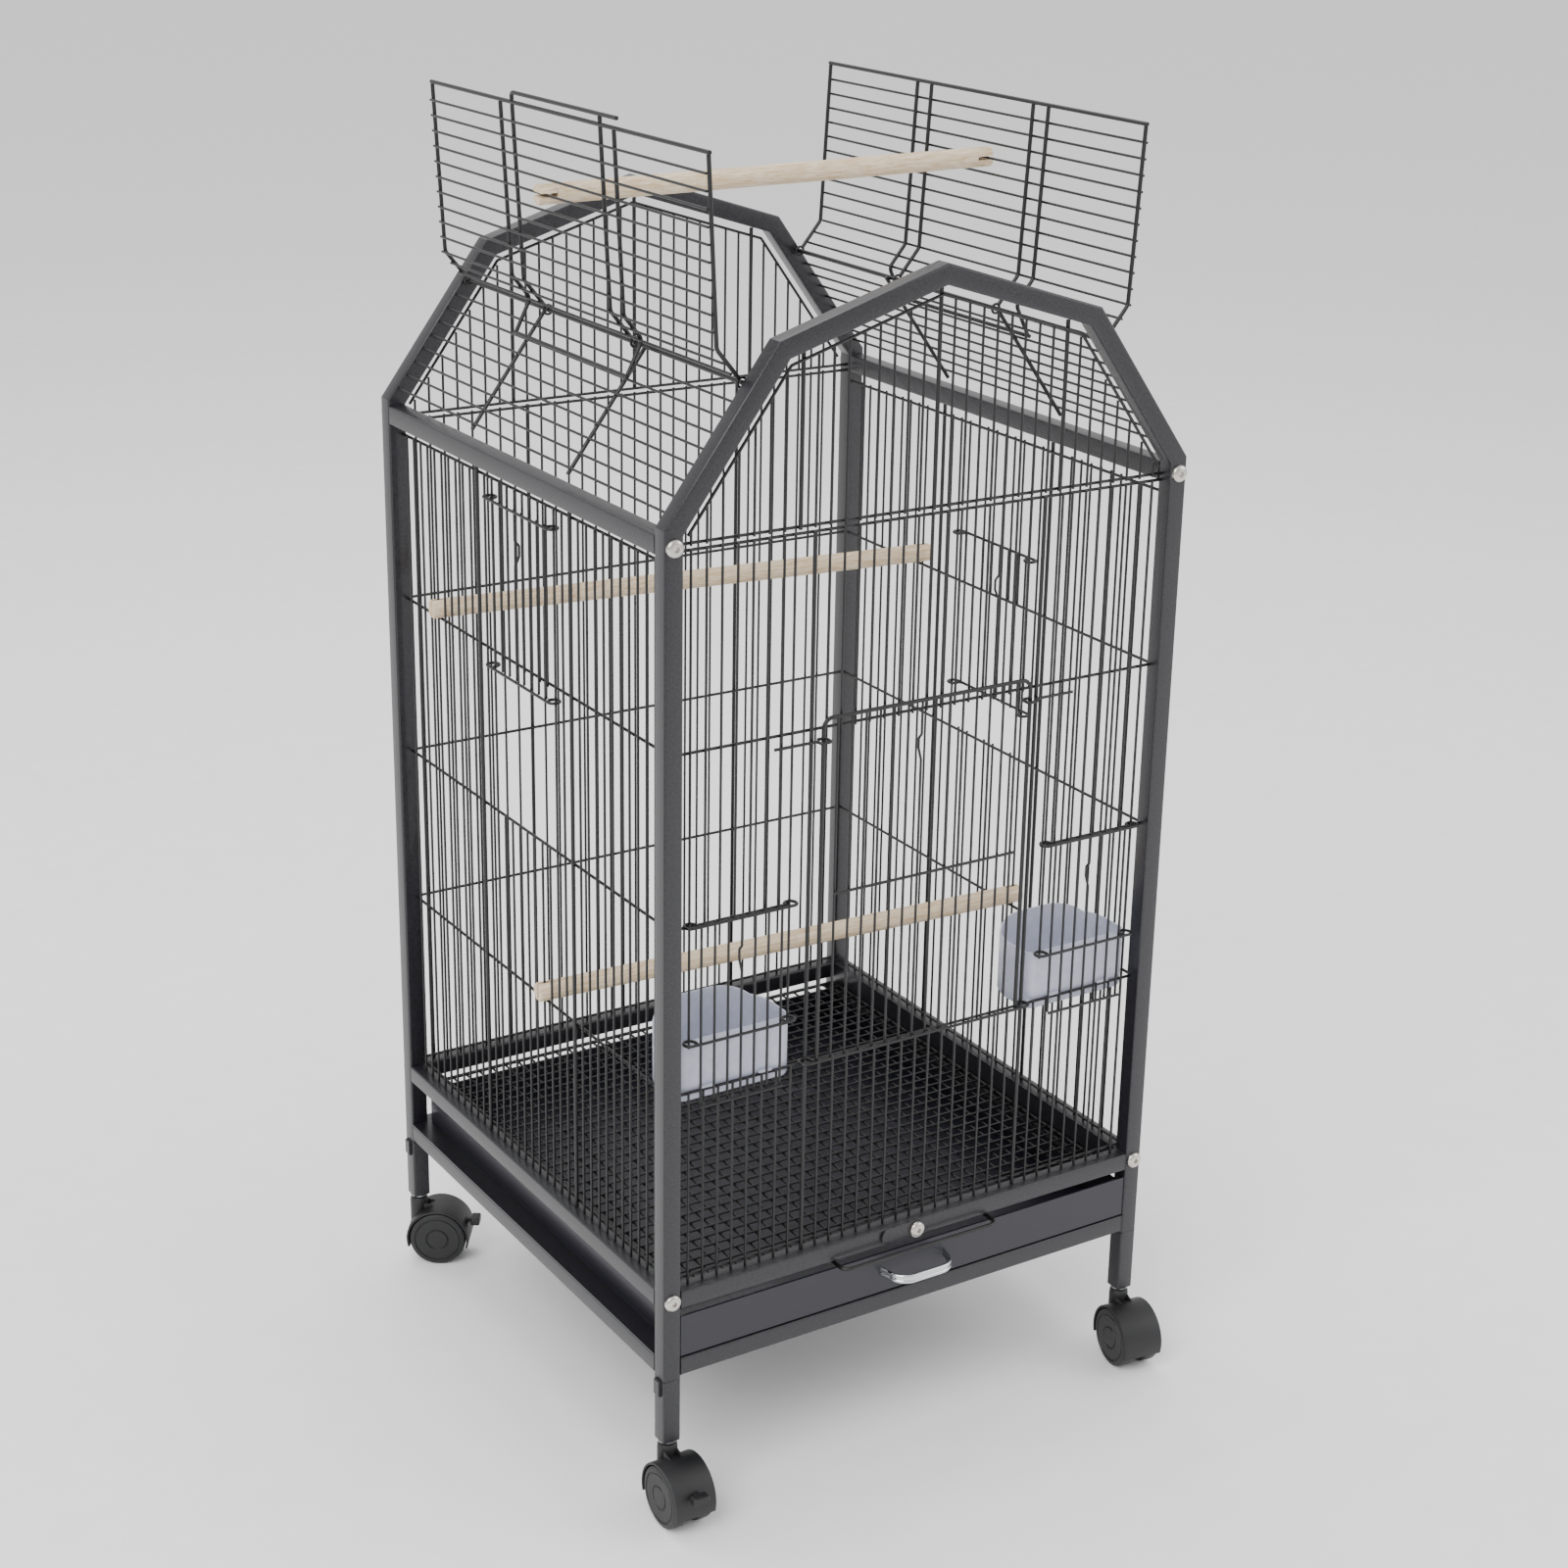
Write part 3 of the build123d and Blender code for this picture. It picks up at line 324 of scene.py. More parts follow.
@dataclass(frozen=True)
class TurnedWood(Finish):
    """Turned beech: long pale fibres along X with short darker flecks and a few knots."""

    fleck: str = "#a5805f"
    knot: str = "#9a5a43"
    knot_spacing: float = 90.0

    def colour(self, tree: bpy.types.NodeTree, speckle: bpy.types.NodeSocket):
        """Fibre colour, darkened by flecks and by soft knots.

        Args:
            tree: the material's node tree.
            speckle: the fibre pattern's socket.

        Returns:
            The socket that carries the colour.
        """
        fibre = super().colour(tree, speckle)
        place = add_node(tree, "TexCoord", {}).outputs["Object"]
        thin = add_node(tree, "Mapping", {}, Vector=place, Scale=(0.16, 1.0, 1.0))
        flecks = add_node(tree, "TexNoise", {}, Vector=thin.outputs["Vector"],
                          Scale=1 / (0.9 * MM), Detail=2.0, Roughness=0.6)
        fleck_mask = add_node(tree, "MapRange", {}, Value=flecks.outputs["Fac"],
                              From_Min=0.6, From_Max=0.72, To_Min=0.0, To_Max=0.55)
        flecked = add_node(tree, "MixRGB", {}, Fac=fleck_mask.outputs["Result"],
                           Color1=fibre, Color2=linear(self.fleck))
        spots = add_node(tree, "TexVoronoi", {"feature": "F1"}, Vector=place,
                         Scale=1 / (self.knot_spacing * MM), Randomness=1.0)
        knot_mask = add_node(tree, "MapRange", {}, Value=spots.outputs["Distance"],
                             From_Min=0.04, From_Max=0.11, To_Min=0.75, To_Max=0.0)
        knotted = add_node(tree, "MixRGB", {}, Fac=knot_mask.outputs["Result"],
                           Color1=flecked.outputs["Color"], Color2=linear(self.knot))
        return knotted.outputs["Color"]


FINISHES = (
    Finish("hammered_black_powder_coat", Slot.FRAME, "#232228", "#121215", roughness=0.36,
           roughness_spread=0.08, grain=1.8, relief=0.15, coat=0.15),
    Finish("black_powder_coated_wire", Slot.WIRE, "#0e0e10", "#070708", roughness=0.38,
           grain=0.8, relief=0.02),
    Finish("nickel_plated_steel", Slot.BOLT, "#cfcbc4", "#bdb8b0", metallic=1.0,
           roughness=0.26, roughness_spread=0.06, grain=0.5, relief=0.003),
    Finish("dark_satin_sheet", Slot.TRAY, "#1e1d28", "#181720", roughness=0.42,
           roughness_spread=0.05, grain=1.1, relief=0.012, coat=0.1),
    Finish("moulded_black_nylon", Slot.CASTOR, "#141417", "#0e0e10", roughness=0.52,
           roughness_spread=0.08, grain=0.35, relief=0.012, ior=1.53),
    TurnedWood("turned_beech", Slot.WOOD, "#e0cfb6", "#c4a983", roughness=0.62,
               roughness_spread=0.08, grain=1.6, relief=0.04, stretch=(0.045, 1.0, 1.0)),
    Finish("pale_polystyrene", Slot.CUP, "#d8dbea", "#cdd1e2", roughness=0.24,
           roughness_spread=0.04, grain=6.0, relief=0.02, ior=1.59, transmission=0.35),
    Finish("bright_chrome", Slot.CHROME, "#e0e1e4", "#d2d3d7", metallic=1.0,
           roughness=0.09, roughness_spread=0.03, grain=0.6, relief=0.001),
    Finish("zinc_plated_steel", Slot.STEEL, "#b9babd", "#9c9da1", metallic=1.0,
           roughness=0.34, roughness_spread=0.08, grain=1.2, relief=0.006),
)


# ---------------------------------------------------------------- shapes


@dataclass
class Shape:
    """Closed solids made of rings of points, gathered into one mesh."""

    points: list = field(default_factory=list)
    faces: list = field(default_factory=list)
    count: int = 0

    def rings(self, rings: np.ndarray) -> "Shape":
        """Joins k rings of n points with quads and closes both ends.

        Args:
            rings: points (k, n, 3) in mm.

        Returns:
            This shape.
        """
        k, n, _ = rings.shape
        index = np.arange(k * n).reshape(k, n) + self.count
        after = np.roll(index, -1, axis=1)
        quads = np.stack([index[:-1], after[:-1], after[1:], index[1:]], axis=-1)
        self.faces += quads.reshape(-1, 4).tolist()
        self.faces += [index[0][::-1].tolist(), index[-1].tolist()]
        self.points.append(rings.reshape(-1, 3))
        self.count += k * n
        return self

    def bar(self, start: tuple, end: tuple, outline: np.ndarray, ease: float = 0.3,
            hint: tuple = Axis.Z.value) -> "Shape":
        """A straight bar of any outline, its end edges eased.

        The end rings are the outline shrunk by 1 - ease / reach towards its middle, where
        reach is half its greatest size.

        Args:
            start: middle of the first end, in mm.
            end: middle of the other end, in mm.
            outline: points (n, 2) in mm.
            ease: size of the eased edge, in mm.
            hint: the way the outline's second direction leans.

        Returns:
            This shape.
        """
        start, end = np.array(start, float), np.array(end, float)
        side, up, forward = basis(end - start, np.array(hint, float))
        middle = outline.mean(axis=0)
        reach = np.abs(outline - middle).max()
        small = middle + (outline - middle) * (1 - ease / reach)
        flat = np.stack([small, outline, outline, small])
        length = np.linalg.norm(end - start)
        along = np.array([0, ease, length - ease, length])
        spread = flat[..., :1] * side + flat[..., 1:] * up
        return self.rings(start + spread + along[:, None, None] * forward)

    def turned(self, origin: tuple, axis: tuple, profile: list, sides: int = 48) -> "Shape":
        """A solid of revolution: radius r at distance h along the axis, for each (r, h).

        Args:
            origin: point on the axis, in mm.
            axis: direction of the axis.
            profile: pairs (radius, distance along the axis) in mm.
            sides: points round the axis.

        Returns:
            This shape.
        """
        axis = np.array(axis, float)
        hint = np.array(Axis.Z.value) if abs(axis[2]) < 0.9 else np.array(Axis.X.value)
        side, up, forward = basis(axis, hint)
        steps = np.array(profile, float)
        unit = circle_outline(1.0, sides)
        spread = unit[:, :1] * side + unit[:, 1:] * up
        radii = np.maximum(steps[:, 0], SMALLEST)[:, None, None]
        return self.rings(np.array(origin) + radii * spread + steps[:, 1][:, None, None] * forward)

    def tube(self, path: np.ndarray, outline: np.ndarray, normal: tuple) -> "Shape":
        """An outline carried along a flat path; normal is the normal of the path's plane.

        Args:
            path: points (k, 3) in mm.
            outline: points (n, 2) in mm: across the plane, then in it.
            normal: unit normal of the plane.

        Returns:
            This shape.
        """
        tangent = np.gradient(path, axis=0)
        tangent /= np.linalg.norm(tangent, axis=1, keepdims=True)
        side = np.array(normal, float)
        up = np.cross(tangent, side)
        rings = outline[None, :, :1] * side + outline[None, :, 1:] * up[:, None, :]
        return self.rings(path[:, None, :] + rings)

    def build(self, name: str, finish: bpy.types.Material, slot: Slot, body: str,
              nodes: tuple, smooth_angle: float = 35.0) -> bpy.types.Object:
        """Makes the mesh and object, dresses it, hangs it on its body and hides the CAD nodes it
        stands for.

        Args:
            name: object name.
            finish: its material.
            slot: its material slot in the record; not used.
            body: the CAD body it rides on.
            nodes: CAD nodes it stands for.
            smooth_angle: edges sharper than this many degrees stay sharp.

        Returns:
            The object.
        """
        mesh = bpy.data.meshes.new(name)
        mesh.from_pydata(np.concatenate(self.points) * MM, [], self.faces)
        work = bmesh.new()
        work.from_mesh(mesh)
        bmesh.ops.recalc_face_normals(work, faces=work.faces)
        work.to_mesh(mesh)
        work.free()
        mesh.polygons.foreach_set("use_smooth", np.ones(len(mesh.polygons), bool))
        mesh.set_sharp_from_angle(angle=np.radians(smooth_angle))
        mesh.materials.append(finish)
        item = bpy.data.objects.new(name, mesh)
        bpy.context.scene.collection.objects.link(item)
        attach(item, body)
        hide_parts(*nodes)
        log.info("%s: %d faces on %s", name, len(mesh.polygons), body)
        return item


# ---------------------------------------------------------------- frame


@dataclass
class CageFrame:
    """Square-tube end frames, side rails and plug-in legs."""

    width: float = 458.0
    depth: float = 464.0
    tube: float = 15.0
    corner: float = 1.6
    post_foot: float = 118.0
    leg_foot: float = 63.0
    eave: float = 788.0
    knee: float = 910.0
    knee_reach: float = 139.0
    peak: float = 953.0
    cross_rails: tuple = (127.5, 185.5)
    side_rails: tuple = (127.5, 185.5, 775.5)
    joint_gap: float = 0.35
    bead: float = 1.1

    def chain(self, depth: float) -> np.ndarray:
        """The end frame's outline moved inwards by depth, with mitred corners.

        At a corner between unit normals a and b the mitred point lies depth / (m . a)
        along the unit bisector m.

        Args:
            depth: distance inwards, in mm.

        Returns:
            Seven points (x, z) in mm.
        """
        half = self.width / 2
        line = np.array([
            (-half, self.post_foot), (-half, self.eave), (-self.knee_reach, self.knee),
            (0, self.peak), (self.knee_reach, self.knee), (half, self.eave),
            (half, self.post_foot),
        ])
        runs = np.diff(line, axis=0)
        runs /= np.linalg.norm(runs, axis=1, keepdims=True)
        normals = np.stack([runs[:, 1], -runs[:, 0]], axis=-1)
        first = np.concatenate([normals[:1], normals])
        second = np.concatenate([normals, normals[-1:]])
        bisector = first + second
        bisector /= np.linalg.norm(bisector, axis=1, keepdims=True)
        return line + bisector * (depth / (bisector * first).sum(axis=1, keepdims=True))

    def end_frame(self, front: bool) -> Shape:
        """One end frame: the mitred chain, its weld beads and two cross rails.

        Args:
            front: True for the front frame.

        Returns:
            The shape.
        """
        middle_y = (-1 if front else 1) * (self.depth - self.tube) / 2
        outline = rounded_outline(self.tube, self.tube, self.corner)
        outer, inner = self.chain(0), self.chain(self.tube)
        share = (self.tube / 2 + outline[:, 0]) / self.tube
        flat = outer[:, None, :] + (inner - outer)[:, None, :] * share[None, :, None]
        side = np.broadcast_to(middle_y + outline[:, 1], flat.shape[:2])
        shape = Shape().rings(np.stack([flat[..., 0], side, flat[..., 1]], axis=-1))
        reach = self.width / 2 - self.tube - self.joint_gap
        for height in self.cross_rails:
            shape.bar((-reach, middle_y, height), (reach, middle_y, height), outline)
            for x in (-reach, reach):
                bead = rounded_outline(self.tube + 0.6, self.tube + 0.6, self.corner + 0.3)
                inwards = x - np.sign(x) * self.bead
                shape.bar((x + np.sign(x) * self.joint_gap / 2, middle_y, height),
                          (inwards, middle_y, height), bead, ease=0.4)
        return shape

    def side(self, sign: int) -> Shape:
        """The three rails of one side.

        Args:
            sign: -1 for the left side, 1 for the right side.

        Returns:
            The shape.
        """
        outline = rounded_outline(self.tube, self.tube, self.corner)
        reach = self.depth / 2 - self.tube - self.joint_gap / 2
        shape = Shape()
        for height in self.side_rails:
            x = sign * (self.width - self.tube) / 2
            shape.bar((x, -reach, height), (x, reach, height), outline)
        return shape

    def legs(self) -> Shape:
        """The four legs, each with the narrow collar of its spigot at the joint.

        Returns:
            The shape.
        """
        outline = rounded_outline(self.tube, self.tube, self.corner)
        collar = rounded_outline(self.tube - 2.4, self.tube - 2.4, self.corner)
        shape = Shape()
        for x_side in (-1, 1):
            for y_side in (-1, 1):
                x = x_side * (self.width - self.tube) / 2
                y = y_side * (self.depth - self.tube) / 2
                top = self.post_foot - self.joint_gap
                shape.bar((x, y, self.leg_foot), (x, y, top), outline, 0.5, Axis.Y.value)
                shape.bar((x, y, top - 2), (x, y, self.post_foot + 2), collar, 0.2, Axis.Y.value)
        return shape

    def build(self, finish: bpy.types.Material) -> None:
        """Builds all frame pieces.

        Args:
            finish: the powder coat.
        """
        self.end_frame(True).build("front_frame_look", finish, Slot.FRAME, "cage",
                                   ("front_frame",))
        self.end_frame(False).build("back_frame_look", finish, Slot.FRAME, "cage",
                                    ("back_frame",))
        self.side(-1).build("left_rails_look", finish, Slot.FRAME, "cage", ("left_side_rails",))
        self.side(1).build("right_rails_look", finish, Slot.FRAME, "cage", ("right_side_rails",))
        self.legs().build("legs_look", finish, Slot.FRAME, "cage", ("legs",))


@dataclass
class ButtonBolts:
    """Button-head socket bolts on the front and back faces of the frame."""

    column: float = 221.5
    face: float = 232.0
    heights: tuple = (775.5, 186.0)
    latch_face: float = 234.6
    head: float = 6.8
    head_height: float = 3.6
    shank: float = 3.0
    length: float = 22.0
    socket: float = 2.0
    socket_depth: float = 1.8
    sides: int = 48

    def bolt(self, shape: Shape, place: tuple, axis: tuple) -> None:
        """Adds one bolt; its head is a low dome round a six-sided socket.

        The socket's outline is r = a / cos(t mod 60 deg - 30 deg), and the dome falls as a
        quarter ellipse from the socket's lip to the rim.

        Args:
            shape: shape to add it to.
            place: middle of the head's seat, in mm.
            axis: the way the head faces.
        """
        side, up, forward = basis(np.array(axis, float), np.array(Axis.Z.value))
        angles = np.linspace(0, 2 * np.pi, self.sides, endpoint=False)
        hexagon = self.socket / np.cos(np.mod(angles, np.pi / 3) - np.pi / 6)
        turn = np.linspace(0, np.pi / 2, 8)
        lip = self.socket * 1.45
        dome = [(lip + (self.head - lip) * np.sin(t), self.head_height * (0.25 + 0.75 * np.cos(t)))
                for t in turn]
        radii = [hexagon * 0.05, hexagon, hexagon]
        heights = [self.head_height - self.socket_depth] * 2 + [self.head_height - 0.15]
        for radius, height in dome:
            radii.append(np.full(self.sides, radius))
            heights.append(height)
        for radius, height in ((self.head, 0.0), (self.shank, 0.0), (self.shank, -self.length)):
            radii.append(np.full(self.sides, radius))
            heights.append(height)
        unit = np.cos(angles)[:, None] * side + np.sin(angles)[:, None] * up
        rings = np.array(radii)[..., None] * unit + np.array(heights)[:, None, None] * forward
        shape.rings(np.array(place) + rings)

    def build(self, finish: bpy.types.Material) -> None:
        """Builds the eight frame bolts and the latch bolt.

        Args:
            finish: the nickel plating.
        """
        shape = Shape()
        for facing in (-1, 1):
            for side in (-1, 1):
                for height in self.heights:
                    self.bolt(shape, (side * self.column, facing * self.face, height),
                              (0, facing, 0))
        shape.build("frame_bolts_look", finish, Slot.BOLT, "cage", ("frame_bolts",))
        latch = Shape()
        self.bolt(latch, (0, -self.latch_face, self.heights[1]), Axis.FRONT.value)
        latch.build("latch_bolt_look", finish, Slot.BOLT, "cage", ("latch_bolt",))


# ---------------------------------------------------------------- perches and cups


@dataclass
class Perch:
    """A turned perch, with a slot sawn into each end."""

    name: str
    left: tuple
    right: tuple
    overhang: float
    upright_slot: bool
    body: str = "cage"
    radius: float = 7.75
    slot: float = 3.0
    slot_depth: float = 14.0
    chamfer: float = 0.8

    def build(self, finish: bpy.types.Material) -> None:
        """Builds the round body and, beyond it, the two halves of each slotted end.

        Args:
            finish: the wood.
        """
        left, right = np.array(self.left, float), np.array(self.right, float)
        along = (right - left) / np.linalg.norm(right - left)
        start, end = left - along * self.overhang, right + along * self.overhang
        inner_start = start + along * self.slot_depth
        inner_end = end - along * self.slot_depth
        shape = Shape()
        shape.bar(inner_start, inner_end, circle_outline(self.radius), JOIN)
        half_moon = segment_outline(self.radius, self.slot / 2)
        level = np.cross(np.array(Axis.Z.value), along)
        up = level if self.upright_slot else np.cross(along, np.array(Axis.Y.value))
        for hint in (up, -up):
            shape.bar(inner_start + along * JOIN, start, half_moon, self.chamfer, tuple(hint))
            shape.bar(inner_end - along * JOIN, end, half_moon, self.chamfer, tuple(hint))
        shape.build(self.name + "_look", finish, Slot.WOOD, self.body, (self.name,))


@dataclass
class FoodCup:
    """Moulded cup with a flat front, a round back and a domed back rim."""

    name: str
    body: str
    centre_x: float
    front_y: float = -218.55
    bottom: float = 343.5
    width: float = 100.0
    depth: float = 62.0
    front_height: float = 50.0
    dome: float = 8.0
    wall: float = 2.0
    front_corner: float = 9.0
    back_corner: float = 34.1
    dome_start: float = 36.0
    tab_size: tuple = (12.0, 2.0)
    tab_front: float = -221.7
    tab_height: float = 354.5
    tab_corner: float = 0.6
    least_radius: float = 0.8
    rise_run: float = 8.0
    deepest_inset: float = 8.0
    centre_share: float = 0.02

    def outline(self, inset: float, steps: int = 14) -> np.ndarray:
        """Plan outline at a distance inside the outer wall: straight sides, four arcs.

        Args:
            inset: distance inwards, in mm.
            steps: segments in each arc.

        Returns:
            Points (n, 2) in mm, counter-clockwise.
        """
        half = self.width / 2
        places = ((half, self.depth, self.back_corner), (-half, self.depth, self.back_corner),
                  (-half, 0.0, self.front_corner), (half, 0.0, self.front_corner))
        arcs = []
        for quarter, (x, y, radius) in enumerate(places):
            angles = np.linspace(0, np.pi / 2, steps + 1) + quarter * np.pi / 2
            inwards = -1 if y else 1
            centre = np.array([x - np.sign(x) * radius, y + inwards * radius])
            arc = max(radius - inset, self.least_radius)
            arcs.append(centre + arc * np.stack([np.cos(angles), np.sin(angles)], axis=-1))
        return np.concatenate(arcs)

    def build(self, finish: bpy.types.Material) -> None:
        """Builds the shell from the outer floor, over the rim, to the inner floor.

        Behind dome_start the rim stands sqrt(1 - (x / a)^2) of the dome above the front
        rim, where a is half the width less the front corner.

        Args:
            finish: the plastic.
        """
        outer = self.outline(0.0)
        reach = self.width / 2 - self.front_corner
        bulge = np.sqrt(np.clip(1 - (outer[:, 0] / reach) ** 2, 0, 1))
        rise = np.clip((outer[:, 1] - self.dome_start) / self.rise_run, 0, 1)
        rim = self.front_height + self.dome * bulge * rise * rise * (3 - 2 * rise)
        levels = [(self.width / 2.2, 0.0, 0.0), (4.0, 0.0, 0.0), (1.2, 0.8, 0.0), (0.0, 3.0, 0.0)]
        levels += [(0.0, 3.0, t) for t in (0.25, 0.5, 0.75)]
        levels += [(0.0, -0.9, 1.0), (0.35, -0.2, 1.0), (1.0, 0.0, 1.0), (1.65, -0.2, 1.0)]
        levels += [(self.wall, -0.9, 1.0)]
        levels += [(self.wall, 5.0, t) for t in (0.75, 0.5, 0.25)]
        levels += [(self.wall, 5.0, 0.0), (3.0, 2.8, 0.0), (6.0, self.wall, 0.0),
                   (self.width / 2.2, self.wall, 0.0)]
        rings = []
        middle = np.array([0.0, self.depth / 2])
        for inset, lift, share in levels:
            flat = self.outline(min(inset, self.deepest_inset))
            if inset > self.deepest_inset:
                flat = middle + (flat - middle) * self.centre_share
            height = self.bottom + share * rim + (1 - share if lift > 0 else 1) * lift
            x = self.centre_x + flat[:, 0]
            rings.append(np.stack([x, self.front_y + flat[:, 1], height + 0 * x], axis=-1))
        shape = Shape().rings(np.array(rings))
        tab = rounded_outline(self.tab_size[0], self.tab_size[1], self.tab_corner)
        for shift in (-self.width / 4, self.width / 4):
            x = self.centre_x + shift
            shape.bar((x, self.tab_front, self.tab_height),
                      (x, self.front_y + self.wall / 2, self.tab_height), tab)
        shape.build(self.name + "_look", finish, Slot.CUP, self.body, (self.name,))


# ---------------------------------------------------------------- tray


@dataclass
class SlideTray:
    """Folded sheet tray with a hemmed front panel and a bow handle."""

    half: float = 211.5
    front: float = -231.0
    back: float = 215.0
    bottom: float = 136.5
    wall_top: float = 167.5
    front_top: float = 171.0
    panel_half: float = 213.6
    sheet: float = 1.0
    hem: float = 2.4
    handle_height: float = 155.0
    handle_length: float = 70.0
    handle_reach: float = 22.0
    wire: float = 1.6
    wire_spacing: float = 4.4
    fold: float = 0.4
    handle_foot: float = 0.86
    handle_flat: float = 0.7
    handle_bend: float = 0.66

    def panel(self, shape: Shape, low: tuple, high: tuple) -> None:
        """Adds a flat sheet between two opposite corners.

        Args:
            shape: shape to add it to.
            low: lowest corner, in mm.
            high: highest corner, in mm.
        """
        low, high = np.array(low), np.array(high)
        size, middle = high - low, (high + low) / 2
        outline = rounded_outline(size[0], size[2], self.fold, 2)
        shape.bar((middle[0], low[1], middle[2]), (middle[0], high[1], middle[2]), outline,
                  min(self.sheet * 0.2, 0.2))

    def build(self, sheet: bpy.types.Material, chrome: bpy.types.Material) -> None:
        """Builds the tray and its handle.

        Args:
            sheet: finish of the tray.
            chrome: finish of the handle.
        """
        t = self.sheet
        shape = Shape()
        inner_front, inner_back = self.front + t, self.back - t
        self.panel(shape, (-self.half, inner_front, self.bottom),
                   (self.half, inner_back, self.bottom + t))
        self.panel(shape, (-self.half, inner_back, self.bottom),
                   (self.half, self.back, self.wall_top))
        for low in (-self.half, self.half - t):
            self.panel(shape, (low, inner_front, self.bottom + t),
                       (low + t, inner_back, self.wall_top))
        self.panel(shape, (-self.panel_half, self.front, self.bottom),
                   (self.panel_half, self.front + t, self.front_top))
        self.panel(shape, (-self.panel_half + 4, self.front + t, self.front_top - self.hem),
                   (self.panel_half - 4, self.front + 2 * t, self.front_top - 0.1))
        shape.build("tray_look", sheet, Slot.TRAY, "tray_body", ("tray",))
        half = self.handle_length / 2
        y_back, y_front = self.front - 0.02, self.front - self.handle_reach
        handle = Shape()
        for shift in (-self.wire_spacing / 2, self.wire_spacing / 2):
            z = self.handle_height + shift
            corners = np.array([(-half * self.handle_foot, y_back, z),
                                (-half * self.handle_flat, y_front, z),
                                (half * self.handle_flat, y_front, z),
                                (half * self.handle_foot, y_back, z)])
            path = bend_path(corners, self.handle_reach * self.handle_bend)
            handle.tube(path, circle_outline(self.wire, 16), Axis.Z.value)
        web = bend_path(corners - np.array([0, 0, self.wire_spacing / 2]),
                        self.handle_reach * self.handle_bend)
        handle.tube(web, rounded_outline(self.wire_spacing, 1.2, 0.3, 2), Axis.Z.value)
        handle.build("tray_handle_look", chrome, Slot.CHROME, "tray_body", ("tray_handle",))


# ---------------------------------------------------------------- castors


